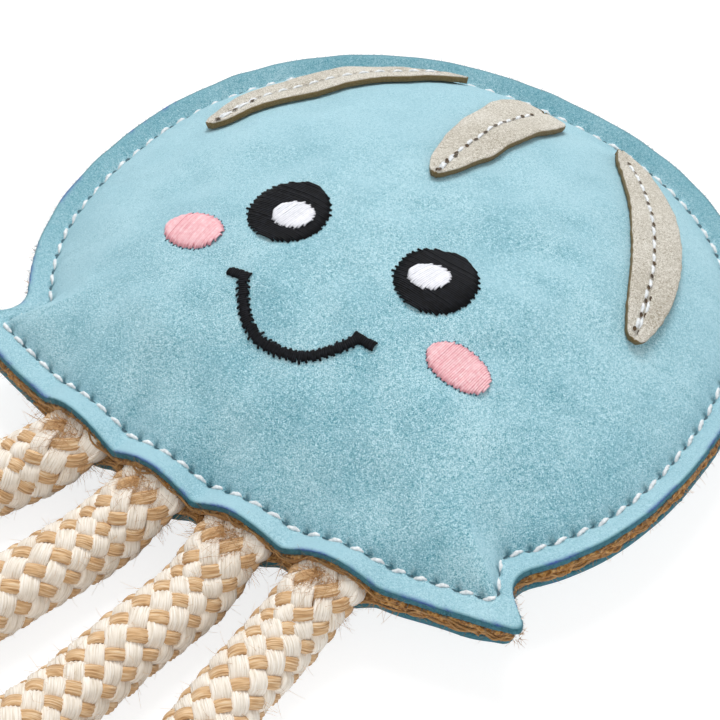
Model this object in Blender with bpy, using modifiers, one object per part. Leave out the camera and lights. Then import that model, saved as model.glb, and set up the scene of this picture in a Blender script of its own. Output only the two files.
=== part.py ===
"""Jellyfish dog toy: a stuffed pillow of suede and jute with four braided rope tentacles.

Frame: metres, +Z out of the face, +Y to the crown. The toy lies on its back with the flat of
its belly on z = 0, and the origin is under the middle of the pillow.
"""

import math

import bpy
import numpy as np
from mathutils import Vector
from mathutils.bvhtree import BVHTree

# Outline of the pillow
BODY_LENGTH = 0.1495
DOME_HALF_WIDTH = 0.0830
DOME_RISE = 0.0795
DOME_DROP = 0.0715
DOME_FULLNESS = 2.2
FLARE_HALF_WIDTH = 0.0770
FLARE_TIP_RISE = 0.0128
FLARE_LEAN = math.radians(50.0)
NOTCH_SOFTNESS = 0.0070
TIP_SOFTNESS = 0.0034
STITCH_LEAN = math.radians(30.0)
STITCH_SOFTNESS = 0.0020
DOME_MARGIN = 0.0050
FLARE_MARGIN = 0.0075
LOWER_MARGIN = 0.0060

# Layers, from the middle of the seam outwards, and the puff of each side
SEAM_HEIGHT = 0.0135
LINING = 0.0010
SUEDE = 0.0020
LAYER_GAP = 0.0003
FRONT_PUFF = 0.0270
BACK_PUFF = 0.0200
PUFF_ROUNDNESS = 2.4
PUFF_STEEPNESS = 0.9
ARCH_FADE_FROM = 0.82
CORNER_SOFTENING = 0.0600
CORNER_SOFTEST = 0.0200

# How finely the sheets are divided
DOME_STEPS = 17
CORNER_STEPS = 2
FLARE_STEPS = 4
ARCH_STEPS = 4
RINGS = (0.17, 0.35, 0.52, 0.68, 0.82, 0.92, 1.0)
LINING_RINGS = (2, 4, 5, 6)
STUFFING_RINGS = (2, 4, 5)
SHARP_ANGLE = math.radians(50.0)

# How finely lines are worked out before they are thinned
FINE_POINTS = 2000
LINE_POINTS = 400
CURVE_POINTS = 40
SOFTENED_POINTS = 1440
HALVINGS = 60

# Ropes
ROPE_COUNT = 4
ROPE_DIAMETER = 0.0160
ROPE_PITCH = 0.0230
ROPE_HELD_DIAMETER = 0.0080
ROPE_CLEARANCE = 0.0007
ROPE_GRIP = 0.0120
ROPE_RELEASE = 0.0012
ROPE_SPREAD = 0.0100
ROPE_POINT_SPACING = 0.0340
ROPE_END_STEP = 0.0060
ROPE_SIDES_COUNT = 4
FLOOR_GAP = 0.0001

# Where each rope runs once it is out of the seam: its own points (x, y), chosen by hand
ROPE_ROUTES = (
    ((-0.0415, -0.084), (-0.0512, -0.100), (-0.0613, -0.115), (-0.0710, -0.131), (-0.0800, -0.147)),
    ((-0.0150, -0.087), (-0.0200, -0.105), (-0.0255, -0.123), (-0.0310, -0.141), (-0.0355, -0.159)),
    ((0.0105, -0.088), (0.0080, -0.106), (0.0055, -0.125), (0.0035, -0.143), (0.0025, -0.162)),
    ((0.0330, -0.086), (0.0330, -0.104), (0.0345, -0.122), (0.0372, -0.141), (0.0410, -0.160)),
)

# Overhand knots, and the frayed tail beyond each
KNOT_STRAND = 0.0102
KNOT_STRAND_GAP = 0.0005
KNOT_REACH = 0.0290
KNOT_LEAD_POINTS = 4
KNOT_POINTS = 73
KNOT_ROUNDS = 900
KNOT_PULL = 0.35
KNOT_PUSH = 0.25
KNOT_PUSHES = 3
KNOT_NEIGHBOURS = 1.6
KNOT_LOOSE_END = 2.06
KNOT_LOOSE_SHAPE = (0.275, 1.0, 0.8)
KNOT_LOOSE_SIZE = 0.75
KNOT_POINTS_KEPT = 37
KNOT_SIDES_COUNT = 2
KNOT_ENTRY = 0.0090
TAIL_LENGTH = 0.0160
TAIL_DIAMETER = 0.0150

# Suede crescents: the ends and middle of each centre line, and the width. A side one's
# points are measured in from the dome's side and down from its crown
PATCH_THICKNESS = 0.0016
PATCH_GAP = 0.0005
PATCH_STEPS = 14
PATCH_ACROSS = 4
SIDE_PATCH_INSETS = ((0.0615, 0.01475), (0.0378, 0.03775), (0.0250, 0.06775))
SIDE_PATCH_WIDTH = 0.0130
SIDE_PATCH_ENDS = (0.45, 0.65)
MIDDLE_PATCH_X = (0.0012, 0.0006, 0.0012)
MIDDLE_PATCH_DOWN = (0.01625, 0.03875, 0.06125)
MIDDLE_PATCH_WIDTH = 0.0165
MIDDLE_PATCH_ENDS = (0.12, 0.50)
PATCH_END_WIDTH = 0.0016

# Embroidery
THREAD_HEIGHT = 0.0006
THREAD_GAP = 0.0003
OVAL_SIDES = 20
OVAL_RINGS = 3
EYE_PLACE = (0.0192, -0.0122)
EYE_RADII = (0.0093, 0.0096)
GLINT_INSET = 0.0016
GLINT_RADII = (0.0043, 0.0042)
CHEEK_PLACE = (0.0356, -0.0265)
CHEEK_RADII = (0.0075, 0.0049)
SMILE_TOP_Y = -0.0318
SMILE_HALF_WIDTH = 0.0168
SMILE_DEPTH = 0.0126
SMILE_ROUNDNESS = 2.6
SMILE_STROKE = 0.0030
SMILE_STEPS = 18
TICK_LENGTH = 0.0068
TICK_STROKE = 0.0026
TICK_SHOULDER = 0.0005

CROWN_Y = BODY_LENGTH / 2.0
LOWER_Y = -BODY_LENGTH / 2.0
DOME_Y = CROWN_Y - DOME_RISE
TIP_Y = LOWER_Y + FLARE_TIP_RISE
LAYERS = LAYER_GAP / 2.0 + LINING + LAYER_GAP + SUEDE
ROPE_ARCH = ROPE_HELD_DIAMETER / 2.0 + ROPE_CLEARANCE
ROPE_LIE = ROPE_DIAMETER / 2.0 + FLOOR_GAP
ROPE_HELD = ROPE_GRIP + ROPE_RELEASE
ROPE_EXITS = tuple((i - (ROPE_COUNT - 1) / 2.0) * ROPE_PITCH for i in range(ROPE_COUNT))

SUEDE_BLUE = (0.26, 0.51, 0.58)
SUEDE_TAUPE = (0.58, 0.50, 0.38)
JUTE_BROWN = (0.30, 0.15, 0.04)
FIBRE_WHITE = (0.80, 0.80, 0.78)
THREAD_BLACK = (0.010, 0.012, 0.018)
THREAD_WHITE = (0.85, 0.85, 0.86)
THREAD_PINK = (0.86, 0.36, 0.38)
ROPE_CREAM = (0.70, 0.58, 0.43)


def clear_scene():
    for item in list(bpy.data.objects):
        bpy.data.objects.remove(item, do_unlink=True)


def new_collection(name):
    made = bpy.data.collections.new(name)
    bpy.context.scene.collection.children.link(made)
    return made


def material(name, colour, roughness):
    made = bpy.data.materials.new(name)
    made.use_nodes = True
    shader = made.node_tree.nodes["Principled BSDF"]
    shader.inputs["Base Color"].default_value = (*colour, 1.0)
    shader.inputs["Roughness"].default_value = roughness
    shader.inputs["Metallic"].default_value = 0.0
    return made


def lengths_along(points):
    step = np.linalg.norm(np.diff(points, axis=0), axis=1)
    return np.concatenate([[0.0], np.cumsum(step)])


def read_along(points, at):
    """The places at given distances along a line."""
    along = lengths_along(points)
    return np.stack([np.interp(at, along, column) for column in points.T], axis=1)


def evenly(points, count):
    return read_along(points, np.linspace(0.0, lengths_along(points)[-1], count))


def cut_back(points, start, end):
    """The line with a length taken off each end."""
    return read_along(points, np.linspace(start, lengths_along(points)[-1] - end, len(points)))


def curve_through(points, count):
    """A smooth line through the points, evenly spaced: each is weighed by how near it is."""
    known = np.asarray(points, float)
    known = np.vstack([2.0 * known[0] - known[1], known, 2.0 * known[-1] - known[-2]])
    step = np.linalg.norm(np.diff(known, axis=0), axis=1)
    at = np.concatenate([[0.0], np.cumsum(np.sqrt(step))])
    pieces = []
    for i in range(1, len(known) - 2):
        t = np.linspace(at[i], at[i + 1], CURVE_POINTS)[:, None]
        pieces.append(curve_piece(known[i - 1 : i + 3], at[i - 1 : i + 3], t))
    return evenly(np.vstack(pieces), count)


def curve_piece(points, at, t):
    """A curve from the second of four points to the third, by repeated blending."""
    first = [blend(points[i], points[i + 1], at[i], at[i + 1], t) for i in range(3)]
    second = [blend(first[i], first[i + 1], at[i], at[i + 2], t) for i in range(2)]
    return blend(second[0], second[1], at[1], at[2], t)


def blend(first, second, start, end, t):
    return ((end - t) * first + (t - start) * second) / (end - start)


def dome_x(y, margin):
    """Half width of the dome at y: a superellipse whose halves have their own heights."""
    reach = np.where(y > DOME_Y, DOME_RISE - margin, DOME_DROP - margin)
    share = np.clip(np.abs(y - DOME_Y) / reach, 0.0, 1.0)
    return (DOME_HALF_WIDTH - margin) * (1.0 - share**DOME_FULLNESS) ** (1.0 / DOME_FULLNESS)


def flare_x(y, margin, lean):
    """Half width of the flare's straight side at y."""
    return FLARE_HALF_WIDTH - margin - (y - TIP_Y) * math.tan(lean)


def lower_y(x, margin):
    """The lower edge at x: one arc through its middle and both flare tips."""
    radius = (FLARE_HALF_WIDTH**2 + FLARE_TIP_RISE**2) / (2.0 * FLARE_TIP_RISE)
    return LOWER_Y + radius - np.sqrt((radius - margin) ** 2 - np.square(x))


def crossing(difference, low, high):
    """Where a difference changes its sign, by halving."""
    for _ in range(HALVINGS):
        middle = (low + high) / 2.0
        if difference(low) * difference(middle) <= 0.0:
            high = middle
        else:
            low = middle
    return (low + high) / 2.0


def rounded_corner(before, corner, after):
    """A curve that touches both sides of a corner."""
    t = np.linspace(0.0, 1.0, CORNER_STEPS + 1)[:, None]
    return (1.0 - t) ** 2 * before + 2.0 * t * (1.0 - t) * corner + t**2 * after


def half_outline(margins, lean, tip_softness, notch_softness):
    """The right half of the outline, from the middle of the lower edge to the crown."""
    dome_margin, flare_margin, lower_margin = margins

    def side_x(y):
        return flare_x(y, flare_margin, lean)

    notch_y = crossing(lambda y: float(dome_x(y, dome_margin)) - side_x(y), TIP_Y, DOME_Y)
    tip_y = crossing(lambda y: float(lower_y(side_x(y), lower_margin)) - y, LOWER_Y, notch_y)
    notch = np.array([side_x(notch_y), notch_y])
    tip = np.array([side_x(tip_y), tip_y])
    last_arch = ROPE_COUNT / 2.0 * ROPE_PITCH
    last_x = tip[0] - tip_softness
    arches = np.arange(0, ROPE_COUNT // 2 * ARCH_STEPS) * ROPE_PITCH / ARCH_STEPS
    across = np.concatenate([arches, np.linspace(last_arch, last_x, FLARE_STEPS + 1)])
    lower = np.stack([across, lower_y(across, lower_margin)], axis=1)
    side = cut_back(np.stack([tip, notch]), tip_softness, notch_softness)
    crown = CROWN_Y - dome_margin
    turn = np.linspace(math.pi, 0.0, FINE_POINTS)
    up = crown - (crown - notch_y) * (1.0 - np.cos(turn)) / 2.0
    dome = np.stack([dome_x(up, dome_margin), up], axis=1)
    dome = cut_back(dome, notch_softness, 0.0)
    return np.vstack(
        [
            lower,
            rounded_corner(lower[-1], tip, side[0])[1:],
            rounded_corner(side[-1], notch, dome[0]),
            evenly(dome, DOME_STEPS + 1)[1:],
        ]
    )


def closed_loop(half):
    """Both halves as one line, anticlockwise from the middle of the lower edge."""
    return np.vstack([half, half[1:-1][::-1] * (-1.0, 1.0)])


def cut_edge():
    return closed_loop(half_outline((0.0, 0.0, 0.0), FLARE_LEAN, TIP_SOFTNESS, NOTCH_SOFTNESS))


def stitch_line():
    margins = (DOME_MARGIN, FLARE_MARGIN, LOWER_MARGIN)
    return closed_loop(half_outline(margins, STITCH_LEAN, STITCH_SOFTNESS, STITCH_SOFTNESS))


def ring_loop(stitch, share):
    """A smaller stitch line whose corners are the softer, the further in it lies."""
    reach = min(CORNER_SOFTENING * (1.0 - share), CORNER_SOFTEST)
    middle = np.array([0.0, DOME_Y])
    return middle + share * (softened(stitch, reach) - middle)


def softened(loop, reach):
    """A closed loop averaged along itself: each point is the mean of the stretch about it,
    with weights that fall off as a bell curve of the given reach."""
    if reach == 0.0:
        return loop
    closed = np.vstack([loop, loop[:1]])
    total = lengths_along(closed)[-1]
    count = SOFTENED_POINTS
    dense = evenly(closed, count + 1)[:-1]
    off = np.minimum(np.arange(count), count - np.arange(count)) * total / count
    weight = np.exp(-0.5 * (off / reach) ** 2)
    weight = np.fft.rfft(weight / weight.sum())[:, None]
    smooth = np.fft.irfft(np.fft.rfft(dense, axis=0) * weight, count, axis=0)
    smooth = np.vstack([smooth, smooth[:1]])
    at = lengths_along(closed)[:-1] / total * count
    return np.stack([np.interp(at, np.arange(count + 1), column) for column in smooth.T], axis=1)


def puff(share):
    """The pillow's rise: 1 in the middle, 0 at the stitches, steepest just inside them."""
    return (1.0 - np.clip(share, 0.0, 1.0) ** PUFF_ROUNDNESS) ** PUFF_STEEPNESS


def rise(side, share):
    """Rise over the seam's flat margin. The back stops at the floor, which flattens it."""
    if side > 0:
        return FRONT_PUFF * puff(share)
    return np.minimum(BACK_PUFF * puff(share), SEAM_HEIGHT - LAYERS)


def rope_arch(points, share):
    """How far a sheet arches over the ropes: cosine arches that fade inside the stitches."""
    arch = np.zeros(len(points))
    for exit_x in ROPE_EXITS:
        off = np.clip(np.abs(points[:, 0] - exit_x) / (ROPE_PITCH / 2.0), 0.0, 1.0)
        arch = np.maximum(arch, ROPE_ARCH * np.cos(off * math.pi / 2.0))
    fade = max(0.0, (share - ARCH_FADE_FROM) / (1.0 - ARCH_FADE_FROM))
    return np.where(points[:, 1] < DOME_Y, arch * fade, 0.0)


def pillow_side(side, depth):
    """One side (1 front, -1 back), a depth under its outer surface: one loop of points for
    each ring, after the middle point, and the cut edge last."""
    stitch = stitch_line()
    middle = np.array([0.0, DOME_Y])
    loops = [(ring_loop(stitch, share), share) for share in RINGS]
    loops.append((cut_edge(), 1.0))
    level = SEAM_HEIGHT + side * (LAYERS + rise(side, 0.0))
    points = [np.array([[*middle, level]])]
    for loop, share in loops:
        lift = LAYERS + rise(side, share) + rope_arch(loop, share)
        points.append(np.column_stack([loop, SEAM_HEIGHT + side * lift]))
    faces = ring_faces(len(stitch), len(loops), side < 0)
    points = moved_in(np.vstack(points), faces, depth)
    return points[0], points[1:].reshape(len(loops), -1, 3)


def kept_rings(side, depth, rings):
    """The points and faces of a side with only some of its rings."""
    middle, loops = pillow_side(side, depth)
    points = np.vstack([middle, loops[list(rings)].reshape(-1, 3)])
    return points, ring_faces(loops.shape[1], len(rings), side < 0)


def ring_faces(around, rings, downward):
    """A fan round the middle point and quads between the rings."""
    faces = [(0, 1 + i, 1 + (i + 1) % around) for i in range(around)]
    for ring in range(rings - 1):
        start = 1 + ring * around
        for i in range(around):
            j = (i + 1) % around
            faces.append((start + i, start + around + i, start + around + j, start + j))
    return [face[::-1] for face in faces] if downward else faces


def mesh_data(name, points, faces):
    data = bpy.data.meshes.new(name)
    data.from_pydata(np.asarray(points).tolist(), [], faces)
    data.update()
    return data


def mesh_object(name, points, faces, look, collection):
    data = mesh_data(name, points, faces)
    data.materials.append(look)
    data.shade_smooth()
    data.set_sharp_from_angle(angle=SHARP_ANGLE)
    made = bpy.data.objects.new(name, data)
    collection.objects.link(made)
    return made


def moved_in(points, faces, depth):
    """The surface's points moved in along their normals."""
    data = mesh_data("measured", points, faces)
    normals = np.empty(len(points) * 3, np.float32)
    data.vertex_normals.foreach_get("vector", normals)
    bpy.data.meshes.remove(data)
    return points - normals.reshape(-1, 3) * depth


def give_wall(item, thickness):
    """A wall that grows inwards from the modelled surface."""
    wall = item.modifiers.new("wall", "SOLIDIFY")
    wall.thickness = thickness
    wall.offset = -1.0


def pillow_sheet(name, side, rings, depth, thickness, look, collection):
    """One sheet of the pillow, from its middle to the cut edge."""
    points, faces = kept_rings(side, depth, (*rings, len(RINGS)))
    made = mesh_object(name, points, faces, look, collection)
    give_wall(made, thickness)
    return made


def stuffing(look, collection):
    """The filling: a closed lens inside both linings, its rim just inside the stitches."""
    depth = LAYERS + LAYER_GAP
    front, faces = kept_rings(1, depth, STUFFING_RINGS)
    back, back_faces = kept_rings(-1, depth, STUFFING_RINGS)
    count = len(front)
    faces += [tuple(count + i for i in face) for face in back_faces]
    around = (count - 1) // len(STUFFING_RINGS)
    rim = count - around
    for i in range(around):
        j = (i + 1) % around
        faces.append((rim + i, count + rim + i, count + rim + j, rim + j))
    return mesh_object("stuffing", np.vstack([front, back]), faces, look, collection)


def top_of(item):
    """A finder of the height of an object's upper surface at x, y."""
    tree = BVHTree.FromObject(item, bpy.context.evaluated_depsgraph_get())
    above, down = 1.0, Vector((0.0, 0.0, -1.0))
    return lambda x, y: tree.ray_cast(Vector((x, y, above)), down)[0].z


def draped(name, plan, faces, top, gap, thickness, look, collection):
    """A thin piece laid over a surface: its plan points dropped on it, then moved out along
    their normals by the gap and the thickness."""
    points = np.array([(x, y, top(x, y)) for x, y in plan])
    points = moved_in(points, faces, -gap - thickness)
    made = mesh_object(name, points, faces, look, collection)
    give_wall(made, thickness)
    return made


def oval(name, place, radii, top, look, collection):
    """A satin-stitched disc, as rings round its middle."""
    turn = np.arange(OVAL_SIDES) * 2.0 * math.pi / OVAL_SIDES
    rim = np.stack([np.cos(turn), np.sin(turn)], axis=1) * radii
    shares = np.arange(1, OVAL_RINGS + 1) / OVAL_RINGS
    plan = np.vstack([[place]] + [place + rim * share for share in shares])
    faces = ring_faces(OVAL_SIDES, OVAL_RINGS, False)
    return draped(name, plan, faces, top, THREAD_GAP, THREAD_HEIGHT, look, collection)


def strip(line, half_widths, across):
    """A band of plan points along a line, and its faces: rows run from right to left."""
    along = np.gradient(line, axis=0)
    along /= np.linalg.norm(along, axis=1)[:, None]
    left = np.stack([-along[:, 1], along[:, 0]], axis=1)
    shares = np.linspace(-1.0, 1.0, across + 1)
    rows = line[:, None] + left[:, None] * (half_widths[:, None] * shares)[:, :, None]
    width = across + 1
    faces = [
        (i * width + j, (i + 1) * width + j, (i + 1) * width + j + 1, i * width + j + 1)
        for i in range(len(line) - 1)
        for j in range(across)
    ]
    return rows.reshape(-1, 2), faces


def crescent(name, line, width, ends, top, look, collection):
    """A suede patch along a bent line. Its ends say how blunt the first is and the last."""
    t = np.linspace(0.0, 1.0, PATCH_STEPS + 1)[:, None]
    start, middle, end = (np.array(point) for point in line)
    control = 2.0 * middle - (start + end) / 2.0
    centre = (1.0 - t) ** 2 * start + 2.0 * t * (1.0 - t) * control + t**2 * end
    half = np.maximum(PATCH_END_WIDTH, width * leaf(t[:, 0], *ends)) / 2.0
    plan, faces = strip(centre, half, PATCH_ACROSS)
    return draped(name, plan, faces, top, PATCH_GAP, PATCH_THICKNESS, look, collection)


def leaf(share, first, last):
    """Width along a patch, 1 at its widest: the smaller an end's power, the blunter it is."""
    widest = first / (first + last)
    most = widest**first * (1.0 - widest) ** last
    return share**first * (1.0 - share) ** last / most


def smile(top, look, collection):
    """A deep curve of satin stitch with a short cross bar at each end, as one piece."""
    x = np.linspace(-SMILE_HALF_WIDTH, SMILE_HALF_WIDTH, LINE_POINTS)
    y = SMILE_TOP_Y - SMILE_DEPTH * (1.0 - np.abs(x / SMILE_HALF_WIDTH) ** SMILE_ROUNDNESS)
    line = np.stack([x, y], axis=1)
    total = lengths_along(line)[-1]
    shoulder = TICK_STROKE + TICK_SHOULDER
    middle = np.linspace(shoulder, total - shoulder, SMILE_STEPS + 1)
    at = np.concatenate([[0.0, TICK_STROKE], middle, [total - TICK_STROKE, total]])
    half = np.full(len(at), SMILE_STROKE / 2.0)
    half[[0, 1, -2, -1]] = TICK_LENGTH / 2.0
    plan, faces = strip(read_along(line, at), half, 2)
    return draped("smile", plan, faces, top, THREAD_GAP, THREAD_HEIGHT, look, collection)


def tube(name, points, radii, sides_count, look, collection):
    """A rope as a curve object, with its own radius at each point."""
    data = bpy.data.curves.new(name, "CURVE")
    data.dimensions = "3D"
    data.bevel_depth = 1.0
    data.bevel_resolution = sides_count
    data.use_fill_caps = True
    data.materials.append(look)
    spline = data.splines.new("POLY")
    spline.points.add(len(points) - 1)
    for point, place, radius in zip(spline.points, points, radii):
        point.co = (*place, 1.0)
        point.radius = radius
    made = bpy.data.objects.new(name, data)
    collection.objects.link(made)
    return made


def overhand():
    """Centre line of a tight overhand knot along X, relaxed from a loose one.

    Each round pulls every point towards its neighbours, as tension does, and pushes apart
    any two stretches that are nearer than the strand is thick.
    """
    t = np.linspace(-KNOT_LOOSE_END, KNOT_LOOSE_END, LINE_POINTS)
    loose = np.stack([t**5 - 10.0 * t, t**3 - 3.0 * t, t**4 - 4.0 * t**2], axis=1)
    loose *= np.array(KNOT_LOOSE_SHAPE) * KNOT_LOOSE_SIZE * KNOT_STRAND
    end = np.array([KNOT_REACH, 0.0, 0.0])
    line = evenly(np.vstack([-end, loose, end]), KNOT_POINTS)
    apart = KNOT_STRAND + KNOT_STRAND_GAP
    for turn in range(KNOT_ROUNDS):
        line[1:-1] += KNOT_PULL * ((line[:-2] + line[2:]) / 2.0 - line[1:-1])
        for _ in range(KNOT_PUSHES):
            line = straight_leads(pushed_apart(line, apart))
        if turn % 5 == 0:
            line = straight_leads(evenly(line, KNOT_POINTS))
    return line


def straight_leads(line):
    """The line with the points nearest its ends set in step along X."""
    spacing = lengths_along(line)[-1] / (len(line) - 1)
    lead = KNOT_REACH - np.arange(KNOT_LEAD_POINTS) * spacing
    lead = np.column_stack([lead, np.zeros((KNOT_LEAD_POINTS, 2))])
    return np.vstack([-lead, line[KNOT_LEAD_POINTS:-KNOT_LEAD_POINTS], lead[::-1]])


def pushed_apart(line, apart):
    """The line with its stretches that lie too near each other moved apart."""
    spacing = lengths_along(line)[-1] / (len(line) - 1)
    first, second = np.triu_indices(len(line), math.ceil(KNOT_NEIGHBOURS * apart / spacing))
    between = line[first] - line[second]
    distance = np.linalg.norm(between, axis=1)
    near = distance < apart
    first, second, between, distance = first[near], second[near], between[near], distance[near]
    push = between * (KNOT_PUSH * (apart - distance) / distance)[:, None]
    moved = line.copy()
    np.add.at(moved, first, push)
    np.add.at(moved, second, -push)
    return moved


def knot_line():
    """The knot laid down: its flat side to the floor, its tail drooping to lie on it."""
    line = evenly(overhand(), KNOT_POINTS_KEPT) * (1.0, 1.0, -1.0)
    tail = line[-1] + np.array([[TAIL_LENGTH / 2.0, 0.0, 0.0], [TAIL_LENGTH, 0.0, 0.0]])
    return np.vstack([line, tail])


def knot_lie(line):
    """Height of the knot's ends over the floor when its lowest strand lies on it."""
    return KNOT_STRAND / 2.0 + FLOOR_GAP - line[:, 2].min()


def knot_radii(line):
    """Full rope at the entry, drawn thin inside the knot, and spread at the frayed end."""
    entry = np.interp(lengths_along(line), [0.0, KNOT_ENTRY], [ROPE_DIAMETER, KNOT_STRAND])
    entry[-2:] = (KNOT_STRAND + TAIL_DIAMETER) / 2.0, TAIL_DIAMETER
    return entry / 2.0


def rope_points(number, knot_height):
    """A rope's own points: held in the seam, out of it, down to the floor, to its knot."""
    x = ROPE_EXITS[number]
    edge = float(lower_y(x, 0.0))
    held = [(x, edge + ROPE_GRIP, SEAM_HEIGHT), (x, edge - ROPE_RELEASE, SEAM_HEIGHT)]
    *lying, before, end = ROPE_ROUTES[number]
    lying = [(*point, ROPE_LIE) for point in lying]
    return held + lying + [(*before, knot_height), (*end, knot_height)]


def rope_stations(total):
    """Distances along a rope: close together where it spreads, and one just before its end."""
    spread = ROPE_HELD + ROPE_SPREAD
    last = total - ROPE_END_STEP
    count = math.ceil((last - spread) / ROPE_POINT_SPACING)
    held = [0.0, ROPE_HELD, ROPE_HELD + ROPE_SPREAD / 2.0]
    return np.concatenate([held, np.linspace(spread, last, count + 1), [total]])


def rope(number, knot_height, look, collection):
    """A rope from the seam to its knot. Returns its end and the way it heads there."""
    line = curve_through(rope_points(number, knot_height), LINE_POINTS)
    at = rope_stations(lengths_along(line)[-1])
    width = [ROPE_HELD_DIAMETER, ROPE_HELD_DIAMETER, ROPE_DIAMETER]
    radii = np.interp(at, [0.0, ROPE_HELD, ROPE_HELD + ROPE_SPREAD], width) / 2.0
    points = read_along(line, at)
    tube(f"rope_{number + 1}", points, radii, ROPE_SIDES_COUNT, look, collection)
    heading = (points[-1] - points[-2])[:2]
    return points[-1][:2], heading / np.linalg.norm(heading)


def knot(number, line, end, heading, look, collection):
    """A knot set on a rope's end, with the entry square to the rope."""
    side = np.array([-heading[1], heading[0]])
    start = end + heading * (LAYER_GAP + KNOT_REACH)
    flat = start + line[:, :1] * heading + line[:, 1:2] * side
    points = np.column_stack([flat, line[:, 2] + knot_lie(line)])
    tube(f"knot_{number + 1}", points, knot_radii(line), KNOT_SIDES_COUNT, look, collection)


def pillow(toy):
    blue = material("blue_suede", SUEDE_BLUE, 0.95)
    jute = material("jute_cloth", JUTE_BROWN, 1.0)
    fibre = material("fibre_filling", FIBRE_WHITE, 1.0)
    lining_depth = SUEDE + LAYER_GAP
    every = range(len(RINGS))
    front = pillow_sheet("front_panel", 1, every, 0.0, SUEDE, blue, toy)
    pillow_sheet("front_lining", 1, LINING_RINGS, lining_depth, LINING, jute, toy)
    pillow_sheet("back_panel", -1, every, 0.0, SUEDE, blue, toy)
    pillow_sheet("back_lining", -1, LINING_RINGS, lining_depth, LINING, jute, toy)
    stuffing(fibre, toy)
    return front


def patches(top, toy):
    taupe = material("taupe_suede", SUEDE_TAUPE, 0.95)
    right = [(DOME_HALF_WIDTH - inwards, CROWN_Y - down) for inwards, down in SIDE_PATCH_INSETS]
    left = [(-x, y) for x, y in right]
    middle = [(x, CROWN_Y - down) for x, down in zip(MIDDLE_PATCH_X, MIDDLE_PATCH_DOWN)]
    crescent("patch_right", right, SIDE_PATCH_WIDTH, SIDE_PATCH_ENDS, top, taupe, toy)
    crescent("patch_left", left, SIDE_PATCH_WIDTH, SIDE_PATCH_ENDS, top, taupe, toy)
    crescent("patch_middle", middle, MIDDLE_PATCH_WIDTH, MIDDLE_PATCH_ENDS, top, taupe, toy)


def face(top, toy):
    black = material("black_thread", THREAD_BLACK, 0.55)
    white = material("white_thread", THREAD_WHITE, 0.55)
    pink = material("pink_thread", THREAD_PINK, 0.55)
    for name, sign in (("left", -1.0), ("right", 1.0)):
        mirror = np.array([sign, 1.0])
        eye = oval(f"eye_{name}", EYE_PLACE * mirror, EYE_RADII, top, black, toy)
        glint = (np.array(EYE_PLACE) - (GLINT_INSET, 0.0)) * mirror
        oval(f"eye_glint_{name}", glint, GLINT_RADII, top_of(eye), white, toy)
        oval(f"cheek_{name}", CHEEK_PLACE * mirror, CHEEK_RADII, top, pink, toy)
    smile(top, black, toy)


def tentacles(toy):
    cream = material("braided_rope", ROPE_CREAM, 0.9)
    line = knot_line()
    for number in range(ROPE_COUNT):
        end, heading = rope(number, knot_lie(line), cream, toy)
        knot(number, line, end, heading, cream, toy)


def main():
    clear_scene()
    toy = new_collection("jellyfish_dog_toy")
    front = pillow(toy)
    bpy.context.view_layer.update()
    top = top_of(front)
    patches(top, toy)
    face(top, toy)
    tentacles(toy)


main()
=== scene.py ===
# %% [markdown]
# # A stuffed suede jellyfish for a dog
# The toy is a pillow of suede lined with jute cloth, stitched round its edge, with a face in
# satin stitch, three suede crescents and four braided rope tentacles caught in the seam.
# Each piece below is a surface worked out as whole numpy arrays in the frame's own metres:
# +Z comes out of the face, +Y points to the crown, and z = 0 is the table.

# %% The frame
import math

import bpy
import numpy as np
from mathutils import Matrix, Vector
from mathutils.bvhtree import BVHTree


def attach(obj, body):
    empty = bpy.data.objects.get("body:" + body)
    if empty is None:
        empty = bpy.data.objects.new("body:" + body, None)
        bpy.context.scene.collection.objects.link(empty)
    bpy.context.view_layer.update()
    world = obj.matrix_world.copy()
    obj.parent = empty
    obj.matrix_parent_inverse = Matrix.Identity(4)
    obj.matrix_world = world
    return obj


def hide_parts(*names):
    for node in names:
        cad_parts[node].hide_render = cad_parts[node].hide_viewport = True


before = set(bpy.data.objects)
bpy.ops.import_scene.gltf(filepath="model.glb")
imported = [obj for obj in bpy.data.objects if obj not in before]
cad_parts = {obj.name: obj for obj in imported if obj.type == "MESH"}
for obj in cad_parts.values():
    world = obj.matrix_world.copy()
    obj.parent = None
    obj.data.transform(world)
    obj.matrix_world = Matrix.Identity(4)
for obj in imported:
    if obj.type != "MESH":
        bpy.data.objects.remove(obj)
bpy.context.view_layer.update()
print("solids in the frame:", len(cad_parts))

# %% [markdown]
# ## Small helpers
# Colours are written as sRGB codes, the way a picture editor shows them, and turned to the
# linear values that a renderer adds up. One function adds a node with its settings and links.
# One more turns arrays of points and faces into a piece that rides on the toy's only body.


# %% Colours and nodes
def linear(code):
    """An sRGB code as linear red, green, blue and alpha. Each channel c is c / 12.92 below
    0.04045, and ((c + 0.055) / 1.055) to the power 2.4 above it."""
    srgb = np.array([int(code[i : i + 2], 16) for i in (1, 3, 5)]) / 255.0
    rgb = np.where(srgb <= 0.04045, srgb / 12.92, ((srgb + 0.055) / 1.055) ** 2.4)
    return (*rgb.tolist(), 1.0)


def new_look(name, **values):
    """A material with plain values on its shader's own sockets."""
    look = bpy.data.materials.new(name)
    look.use_nodes = True
    shader = look.node_tree.nodes["Principled BSDF"]
    for socket, value in values.items():
        shader.inputs[socket.replace("_", " ")].default_value = value
    return look, look.node_tree, shader


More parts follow.
